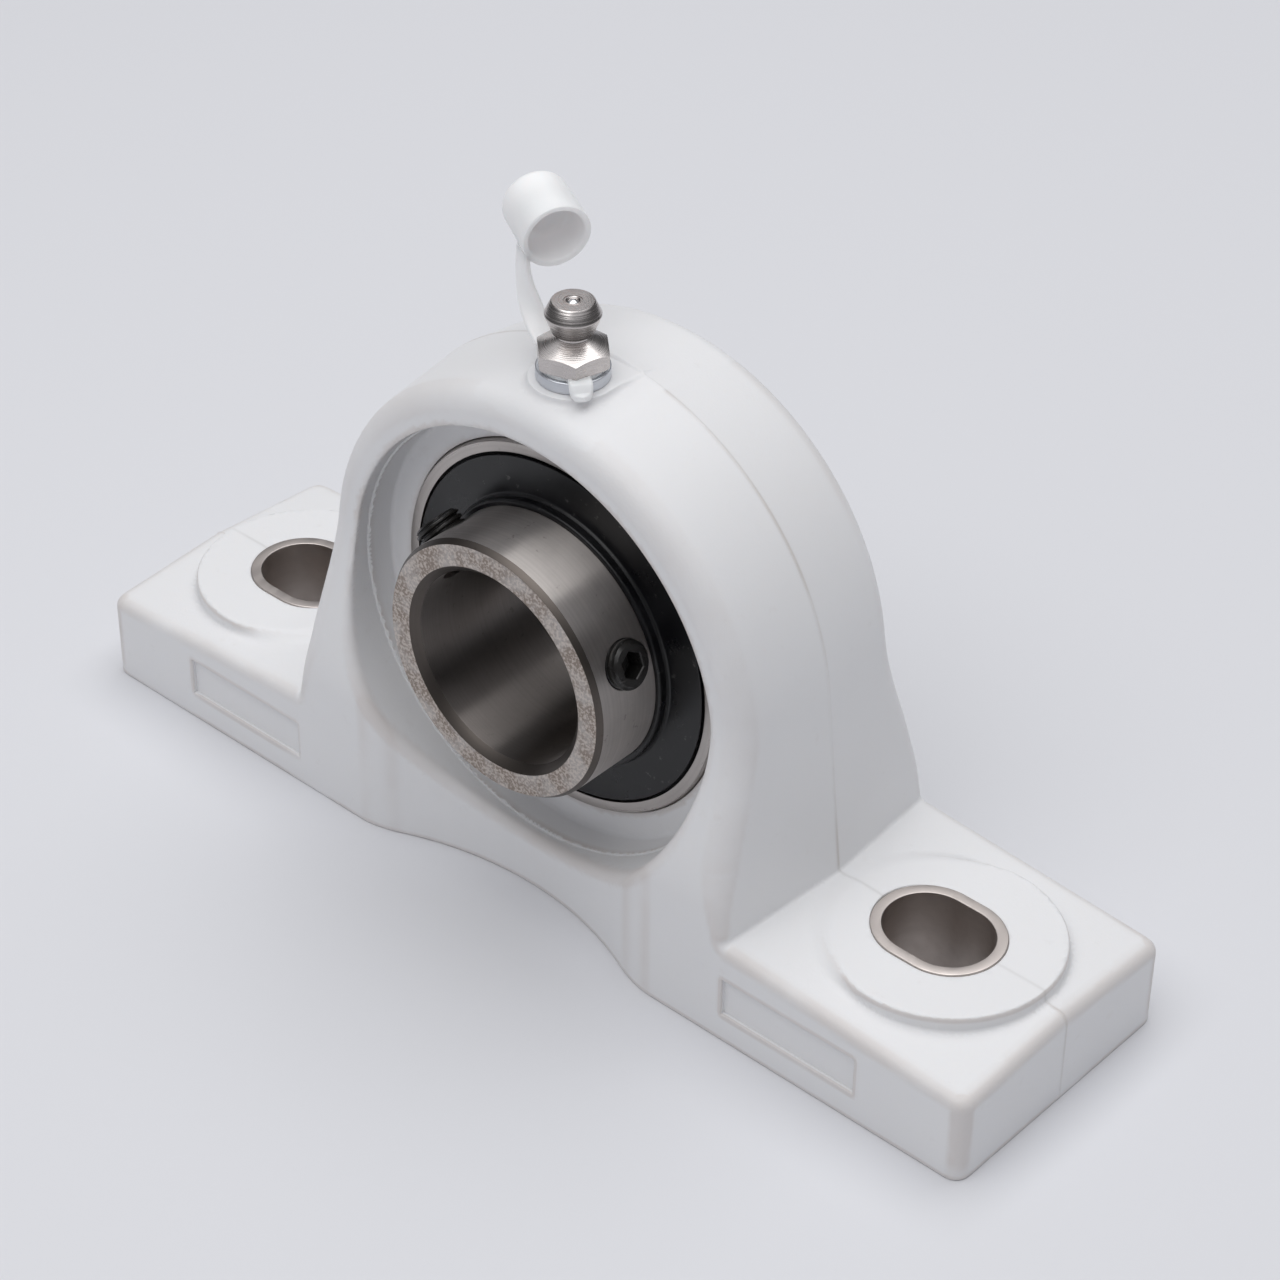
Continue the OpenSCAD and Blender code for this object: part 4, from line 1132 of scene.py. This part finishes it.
def sleeve_tree():
    """Geometry Nodes: a rounded wall section swept along a rounded slot"""
    tree = bpy.data.node_groups.new("slot_sleeve", "GeometryNodeTree")
    tree.interface.new_socket("Geometry", in_out="OUTPUT", socket_type="NodeSocketGeometry")
    for label, value in (("Slot Width", 11), ("Slot Length", 14), ("Wall", 1.4), ("Height", 15),
                         ("Lip Radius", 0.12)):
        made = tree.interface.new_socket(label, in_out="INPUT", socket_type="NodeSocketFloat")
        made.default_value = value * MM
    tree.interface.new_socket("Material", in_out="INPUT", socket_type="NodeSocketMaterial")
    given = tree.nodes.new("NodeGroupInput").outputs
    out = tree.nodes.new("NodeGroupOutput").inputs
    wall, height = given["Wall"], given["Height"]
    path_width = maths(tree, "ADD", given["Slot Width"], wall)
    path = new_node(tree, "GeometryNodeCurvePrimitiveQuadrilateral", {
        "Width": maths(tree, "ADD", given["Slot Length"], wall), "Height": path_width})
    bend = new_node(tree, "GeometryNodeFilletCurve", {
        "Curve": path.outputs[0], "Count": 40, "Radius": times(tree, path_width, 0.49999),
        "Limit Radius": True}, mode="POLY")
    section = new_node(tree, "GeometryNodeCurvePrimitiveQuadrilateral", {"Width": wall, "Height": height})
    lip = new_node(tree, "GeometryNodeFilletCurve", {
        "Curve": section.outputs[0], "Count": 6, "Radius": given["Lip Radius"],
        "Limit Radius": True}, mode="POLY")
    swept = new_node(tree, "GeometryNodeCurveToMesh", {
        "Curve": bend.outputs[0], "Profile Curve": lip.outputs[0], "Fill Caps": False})
    lift = new_node(tree, "ShaderNodeCombineXYZ", {2: times(tree, height, 0.5)})
    lifted = new_node(tree, "GeometryNodeTransform", {
        "Geometry": swept.outputs[0], "Translation": lift.outputs[0]})
    smooth = new_node(tree, "GeometryNodeSetShadeSmooth", {
        "Geometry": lifted.outputs[0], "Shade Smooth": True})
    real = new_node(tree, "GeometryNodeRealizeInstances", {"Geometry": smooth.outputs[0]})
    shaded = new_node(tree, "GeometryNodeSetMaterial", {
        "Geometry": real.outputs[0], "Material": given["Material"]})
    feed(tree, out[0], shaded.outputs[0])
    return tree


def grown(name, tree, values, place):
    """The plain mesh that a Geometry Nodes tree makes with the given inputs, put in its place"""
    holder = linked(name, bpy.data.meshes.new(name))
    modifier = holder.modifiers.new("shape", "NODES")
    modifier.node_group = tree
    for socket in tree.interface.items_tree:
        if socket.item_type == "SOCKET" and socket.in_out == "INPUT" and socket.name in values:
            modifier[socket.identifier] = values[socket.name]
    mesh = evaluated_mesh(holder)
    bpy.data.objects.remove(holder)
    mesh.transform(place)
    made = bmesh.new()
    made.from_mesh(mesh)
    bmesh.ops.remove_doubles(made, verts=made.verts, dist=MERGE_DISTANCE)
    bmesh.ops.recalc_face_normals(made, faces=made.faces)
    made.to_mesh(mesh)
    made.free()
    mesh.set_sharp_from_angle(angle=math.radians(CREASE_DEGREES))
    mesh.name = name
    return mesh


SLEEVE_STAND = 0.15 * MM


class BEARING_OT_sleeves(bpy.types.Operator):
    """Build the two stainless bolt sleeves"""
    bl_idname = "bearing.sleeves"
    bl_label = "Bolt Sleeves"

    def execute(self, context):
        sizes = context.scene.bearing_housing
        material = metal_material("drawn_stainless", context.scene.bearing_colours.sleeve, 0.36, axis=UPRIGHT,
                                  relief=0.12, line_size=900.0, dark=0.88, speck_share=0.05)
        tree = sleeve_tree()
        for name, way in (("left", -1), ("right", 1)):
            place = Matrix.Translation((way * sizes.slot_pitch / 2, 0, 0))
            mesh = grown("sleeve_" + name, tree, {"Height": sizes.pad_height + SLEEVE_STAND}, place)
            new_piece("sleeve_" + name, mesh, material, "base", ["bolt_sleeve_" + name])
        return {"FINISHED"}


# Grease nipple, in millimetres

HEXAGON_LOW = 2.0
HEXAGON_HIGH = 5.05
HEXAGON_TURN = math.radians(-13.4)
HEXAGON_FOOT = 0.42
NECK = 1.75
SHOULDER = NECK + 0.16
NIPPLE_POINTS = 144


class BEARING_OT_nipple(bpy.types.Operator):
    """Build the grease nipple and the insert it is screwed into"""
    bl_idname = "bearing.nipple"
    bl_label = "Grease Nipple"

    def execute(self, context):
        colours = context.scene.bearing_colours
        flats, top, widest, flange = in_mm(
            context.scene.bearing_nipple, "hexagon", "height", "head_radius", "flange_radius")
        upright = {"axis": UPRIGHT, "centre": tuple(NIPPLE_FOOT)}
        zinc = metal_material("blue_zinc", colours.insert, 0.34, relief=0.2, dark=0.85, **upright)
        corners = [
            (3.0, -8, 0.1), (4, -8, 0.2), (4, 0, 0), (flange, 0, 0.1), (flange, 1.45, 0.15),
            (3.0, 1.45, 0.1)]
        mesh = lathe("nipple_insert_flange", corners, NIPPLE_PLACE, segments=128)
        new_piece("nipple_insert_flange", mesh, zinc, "base", ["nipple_insert"])
        plated = metal_material("nickel_plate", colours.nipple, 0.24, relief=0.55, line_size=5200.0,
                                dark=0.72, grain_size=4200.0, **upright)
        place = NIPPLE_PLACE @ Matrix.Rotation(HEXAGON_TURN, 4, "Z")
        mesh = ring_stack("nipple_body", self.rings(flats, top, widest), place, 28)
        new_piece("nipple_body", mesh, plated, "base", ["grease_nipple"])
        return {"FINISHED"}

    def rings(self, flats, top, widest):
        """Rings from the shank's end over the hexagon and head, into the spring chamber and back down"""
        angles = angles_round(NIPPLE_POINTS)
        sides = np.array([hexagon_reach(angle, flats) for angle in angles])
        foot = np.minimum(sides, flats / 2 + HEXAGON_FOOT)
        levels = [(0.7, -6), (2.8, -6), (3.0, -5.8), (3.0, 1.95)]
        for share in (0, 1):
            out = (sides - foot) * share
            levels.append((foot + out, HEXAGON_LOW + 0.02 * share + out / 1.5))
        for share in (0, 0.02, 0.25, 0.5, 0.75, 1):
            levels.append((sides + (SHOULDER - sides) * share,
                           HEXAGON_HIGH - (sides - SHOULDER) / 2 * (1 - share)))
        levels += [
            (NECK + 0.03, 5.16), (NECK - 0.02, 5.3), (NECK - 0.02, 5.55), (NECK + 0.05, 5.72), (2.38, 5.86),
            (2.48, 5.93), (widest - 0.05, top - 1.86), (widest, top - 1.78), (widest, top - 1.6),
            (widest - 0.05, top - 1.52), (2.56, top - 0.08), (2.46, top), (1.12, top), (1.06, top - 0.1),
            (0.98, top - 0.1), (0.95, top), (0.86, top), (0.80, top - 0.06), (0.78, top - 0.35),
            (0.98, top - 0.35), (0.98, top - 3.95), (0.70, top - 3.95), levels[0]]
        return [ring_points(angles, reach, height) for reach, height in levels]


# Dust cap, in millimetres

CAP_AT = Vector((-6.6, 4.5, 13.45))
CAP_TURN = math.radians(-25.8)
CAP_DIP = math.radians(7.8)
CAP_FLOOR = -4.8
STRAP_TURN = math.radians(172)
STRAP_SIDE = math.radians(-63)
STRAP_ROOT = 1.55
STRAP_OUT = 2.9
STRAP_RISE = 1.5
STRAP_DROP = 4.5
STRAP_OVERLAP = 0.3
STRAP_STEPS = 64
STRAP_POINTS = 28
RING_INSET = 0.35
RING_BORE = 3.0
RING_HEIGHT = 1.72
RING_HALF_THICK = 0.26
RING_EDGE = 0.12
RING_STEP = 0.11
TAB_TURN = math.radians(-37)
TAB_PATH = [(3.8, 1.7), (4.5, 1.68), (4.95, 1.5), (5.25, 1.1), (5.5, 0.75), (5.95, 0.55)]
TAB_HALF_THICK = 0.42
TAB_EDGE = 0.3
TAB_FILLET = 0.15
TAB_END = 6.3
TAB_START = 3.4


def cap_frame():
    """Direction in which the cap's mouth faces, and from its centre to the strap's place on the rim"""
    ahead = Vector((math.cos(CAP_DIP) * math.cos(CAP_TURN), math.cos(CAP_DIP) * math.sin(CAP_TURN),
                    -math.sin(CAP_DIP)))
    low = (Vector((0, 0, -1)) + ahead * ahead.z).normalized()
    return ahead, low * math.cos(STRAP_SIDE) + ahead.cross(low) * math.sin(STRAP_SIDE)


def tab_distance(radius, width):
    """Distance function of the strap's flat ring and the pull tab bent down from it"""
    def distance(p):
        x, y, z = p
        reach = np.hypot(x, y)
        ring = np.maximum(reach - radius, RING_BORE - reach)
        ring = both(ring, np.abs(z - RING_HEIGHT) - RING_HALF_THICK, RING_EDGE)
        along = x * math.cos(TAB_TURN) + y * math.sin(TAB_TURN)
        across = np.abs(-x * math.sin(TAB_TURN) + y * math.cos(TAB_TURN))
        gaps = []
        for (u, v), (s, t) in zip(TAB_PATH, TAB_PATH[1:]):
            share = np.clip(((along - u) * (s - u) + (z - v) * (t - v)) / ((s - u) ** 2 + (t - v) ** 2), 0, 1)
            gaps.append(np.hypot(along - u - share * (s - u), z - v - share * (t - v)))
        near = np.minimum.reduce(gaps)
        tip = np.clip((along - TAB_END + width / 2) / (width / 2), 0, 0.98)
        tab = both(near - TAB_HALF_THICK, across - width / 2 * np.sqrt(1 - tip ** 2), TAB_EDGE)
        return either(ring, np.maximum(tab, TAB_START - reach), TAB_FILLET)

    return distance


class BEARING_OT_cap(bpy.types.Operator):
    """Build the dust cap, its strap and the ring that holds it"""
    bl_idname = "bearing.cap"
    bl_label = "Dust Cap"

    def execute(self, context):
        sizes = context.scene.bearing_nipple
        material = cap_material("soft_white_plastic", context.scene.bearing_colours)
        ring_radius, strap_width, strap_thickness, radius, size, wall = in_mm(
            sizes, "flange_radius", "strap_width", "strap_thickness", "cap_radius", "cap_length", "cap_wall")
        ring_radius -= RING_INSET
        self.ring(material, ring_radius, strap_width)
        self.cup(material, radius, size, wall)
        self.strap(material, ring_radius, radius, strap_width / 2, strap_thickness / 2)
        return {"FINISHED"}

    def ring(self, material, radius, width):
        """The strap's flat ring under the nipple's hexagon, with its pull tab"""
        line = grid_line(-7.2, 7.2, RING_STEP)
        lines = line, line, grid_line(-0.2, 2.4, RING_STEP)
        mesh = solid_mesh("cap_ring_tab", tab_distance(radius, width), lines)[0]
        mesh.transform(NIPPLE_PLACE)
        new_piece("cap_ring_tab", mesh, material, "base", ["cap_ring"])

    def cup(self, material, radius, size, wall):
        """The cap itself, its mouth at the origin of its lathe"""
        facing = cap_frame()[0].to_track_quat("Z", "Y").to_matrix().to_4x4()
        place = NIPPLE_PLACE @ Matrix.Translation(CAP_AT * MM) @ facing
        corners = [
            (0, -size - 0.55, 0), (0.7, -size - 0.5, 0.3), (0.9, -size, 0.15), (radius - 0.12, -size, 1.2),
            (radius, -0.2, 0), (radius, 0, 0.36), (radius - wall, 0, 0.36), (radius - wall, CAP_FLOOR, 0.8),
            (0, CAP_FLOOR, 0)]
        mesh = lathe("dust_cap_cup", corners, place, segments=128, steps=8)
        new_piece("dust_cap_cup", mesh, material, "cap", ["dust_cap"])

    def strap(self, material, ring_radius, cap_radius, half_width, half_thick):
        """The strap, along a curve from the ring to the cap's rim"""
        ahead, side = cap_frame()
        up = Vector((0, 0, 1))
        out = Vector((math.cos(STRAP_TURN), math.sin(STRAP_TURN), 0))
        root = out * ring_radius + up * STRAP_ROOT
        top = CAP_AT + side * (cap_radius - STRAP_OVERLAP) - ahead * half_width
        pull = [root, root + out * STRAP_OUT + up * STRAP_RISE, top + out - up * STRAP_DROP, top]
        rings = []
        for k in range(STRAP_STEPS + 1):
            t = k / STRAP_STEPS
            u = 1 - t
            centre = pull[0] * u ** 3 + pull[1] * 3 * u * u * t + pull[2] * 3 * u * t * t + pull[3] * t ** 3
            way = (pull[1] - pull[0]) * u * u + (pull[2] - pull[1]) * 2 * u * t + (pull[3] - pull[2]) * t * t
            way.normalize()
            across = up.cross(out) * u + side.cross(way) * t
            across = (across - way * across.dot(way)).normalized()
            normal = way.cross(across)
            rings.append([
                centre + across * half_width * math.copysign(abs(c) ** 0.45, c)
                + normal * half_thick * math.copysign(abs(s) ** 0.6, s)
                for c, s in ((math.cos(a), math.sin(a)) for a in angles_round(STRAP_POINTS))])
        mesh = ring_stack("cap_strap_band", rings, NIPPLE_PLACE, 60)
        mesh.materials.append(material)
        piece = linked("cap_strap_band", mesh)
        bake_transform(piece)
        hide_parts("cap_strap")


# Pieces that stay as the frame has them

class BEARING_OT_inner_parts(bpy.types.Operator):
    """Finish the balls, cage, seals and other parts inside"""
    bl_idname = "bearing.inner_parts"
    bl_label = "Inner Parts"

    def execute(self, context):
        steel = metal_material("polished_steel", (0.70, 0.70, 0.71), 0.16, relief=0.05, dark=0.9,
                               speck_share=0.0)
        pressed = metal_material("pressed_steel", (0.52, 0.50, 0.46), 0.34, relief=0.2, dark=0.75)
        rubber = coated_material("seal_rubber", (0.02, 0.02, 0.02), 0.55, (0.035, 0.035, 0.035))
        finish = {"cage": pressed, "ball": steel, "seal": rubber, "nipple_": steel, "anti": pressed}
        for name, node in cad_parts.items():
            for start, material in finish.items():
                if name.startswith(start) and not node.hide_render:
                    node.data.materials.clear()
                    node.data.materials.append(material)
        return {"FINISHED"}


# Stage, in metres

FLOOR_HALF = 2.5
FLOOR_ROUGHNESS = 0.75
WORLD_COLOUR = (0.95, 0.96, 1.0)
HORIZON_BAND = (0.45, 0.7)
KEY_SIZE = (0.83, 1.62)
KEY_AT = (-0.035, -0.09, 0.9)
LOOK_AT = Vector((0.058, 5.675, 27.299)) * MM
LENS = 99.105
SENSOR_WIDTH = 36
SHIFT = (0.0024, -0.0002)


class BEARING_OT_stage(bpy.types.Operator):
    """Set up the floor, the world's light, the one key lamp and the camera"""
    bl_idname = "bearing.stage"
    bl_label = "Stage"

    def execute(self, context):
        scene = context.scene
        self.floor(scene.bearing_stage)
        scene.world = self.world(scene.bearing_stage)
        self.key_lamp(scene.bearing_stage)
        scene.camera = self.camera(scene.bearing_stage)
        scene.view_settings.view_transform = "Standard"
        return {"FINISHED"}

    def floor(self, settings):
        """A plain pale floor"""
        mesh = bpy.data.meshes.new("floor")
        corners = [(x * FLOOR_HALF, y * FLOOR_HALF, 0) for x, y in ((-1, -1), (1, -1), (1, 1), (-1, 1))]
        mesh.from_pydata(corners, [], [(0, 1, 2, 3)])
        material, tree = new_material("floor_paper")
        shader = tree.nodes["Principled BSDF"]
        shader.inputs["Base Color"].default_value = (*settings.floor, 1)
        shader.inputs["Roughness"].default_value = FLOOR_ROUGHNESS
        mesh.materials.append(material)
        linked("floor", mesh)

    def world(self, settings):
        """Even light all round, which shiny surfaces see bright above and dark near the horizon"""
        world = bpy.data.worlds.new("studio")
        world.use_nodes = True
        tree = world.node_tree
        back = tree.nodes["Background"]
        back.inputs["Color"].default_value = (*WORLD_COLOUR, 1)
        glossy = new_node(tree, "ShaderNodeLightPath").outputs["Is Glossy Ray"]
        way = new_node(tree, "ShaderNodeTexCoord").outputs["Generated"]
        height = new_node(tree, "ShaderNodeSeparateXYZ", {0: way}).outputs["Z"]
        seen = ranged(tree, height, *HORIZON_BAND, settings.glossy_level, settings.ceiling_level)
        strength = new_node(tree, "ShaderNodeMix", {0: glossy, 2: settings.world_level, 3: seen})
        feed(tree, back.inputs["Strength"], strength.outputs[0])
        return world

    def key_lamp(self, settings):
        """One large soft lamp overhead"""
        lamp = bpy.data.lights.new("key_lamp", "AREA")
        lamp.shape = "RECTANGLE"
        lamp.size, lamp.size_y = KEY_SIZE
        lamp.energy = settings.key_power
        linked("key_lamp", lamp).location = KEY_AT

    def camera(self, settings):
        """The camera, at a distance from the point it looks at, rolled about its own axis"""
        a, e, roll = settings.azimuth, settings.elevation, settings.roll
        back_way = Vector((math.sin(a) * math.cos(e), -math.cos(a) * math.cos(e), math.sin(e)))
        ahead = -back_way
        right = ahead.cross(Vector((0, 0, 1))).normalized()
        up = right.cross(ahead)
        rolled_right = right * math.cos(roll) + up * math.sin(roll)
        rolled_up = -right * math.sin(roll) + up * math.cos(roll)
        lens = bpy.data.cameras.new("camera")
        lens.lens = LENS
        lens.sensor_width = SENSOR_WIDTH
        lens.shift_x, lens.shift_y = SHIFT
        camera = linked("camera", lens)
        way = Matrix((rolled_right, rolled_up, back_way)).transposed().to_4x4()
        camera.matrix_world = Matrix.Translation(LOOK_AT + back_way * settings.distance) @ way
        return camera


class BEARING_PT_panel(bpy.types.Panel):
    """Lists the bearing's sizes, colours and pieces in the sidebar"""
    bl_idname = "BEARING_PT_panel"
    bl_label = "Pillow Block Bearing"
    bl_space_type = "VIEW_3D"
    bl_region_type = "UI"
    bl_category = "Bearing"

    def draw(self, context):
        for name in GROUPS:
            box = self.layout.box()
            group = getattr(context.scene, name)
            for row in group.bl_rna.properties.keys():
                if row not in ("rna_type", "name"):
                    box.prop(group, row)
        for operator in OPERATORS:
            self.layout.operator(operator.bl_idname)


GROUPS = {
    "bearing_housing": HousingSizes,
    "bearing_insert": BearingSizes,
    "bearing_nipple": NippleSizes,
    "bearing_colours": FinishColours,
    "bearing_stage": StageSettings,
}
OPERATORS = (
    BEARING_OT_stage, BEARING_OT_housing, BEARING_OT_sleeves, BEARING_OT_inner_ring, BEARING_OT_outer_ring,
    BEARING_OT_slingers, BEARING_OT_set_screws, BEARING_OT_nipple, BEARING_OT_cap, BEARING_OT_inner_parts)
CLASSES = (*GROUPS.values(), *OPERATORS, BEARING_PT_panel)


def register():
    for made in CLASSES:
        bpy.utils.register_class(made)
    for name, group in GROUPS.items():
        setattr(bpy.types.Scene, name, bpy.props.PointerProperty(type=group))


def unregister():
    for name in GROUPS:
        delattr(bpy.types.Scene, name)
    for made in reversed(CLASSES):
        bpy.utils.unregister_class(made)


def main():
    register()
    for operator in OPERATORS:
        section, name = operator.bl_idname.split(".")
        getattr(getattr(bpy.ops, section), name)()


if __name__ == "__main__":
    main()
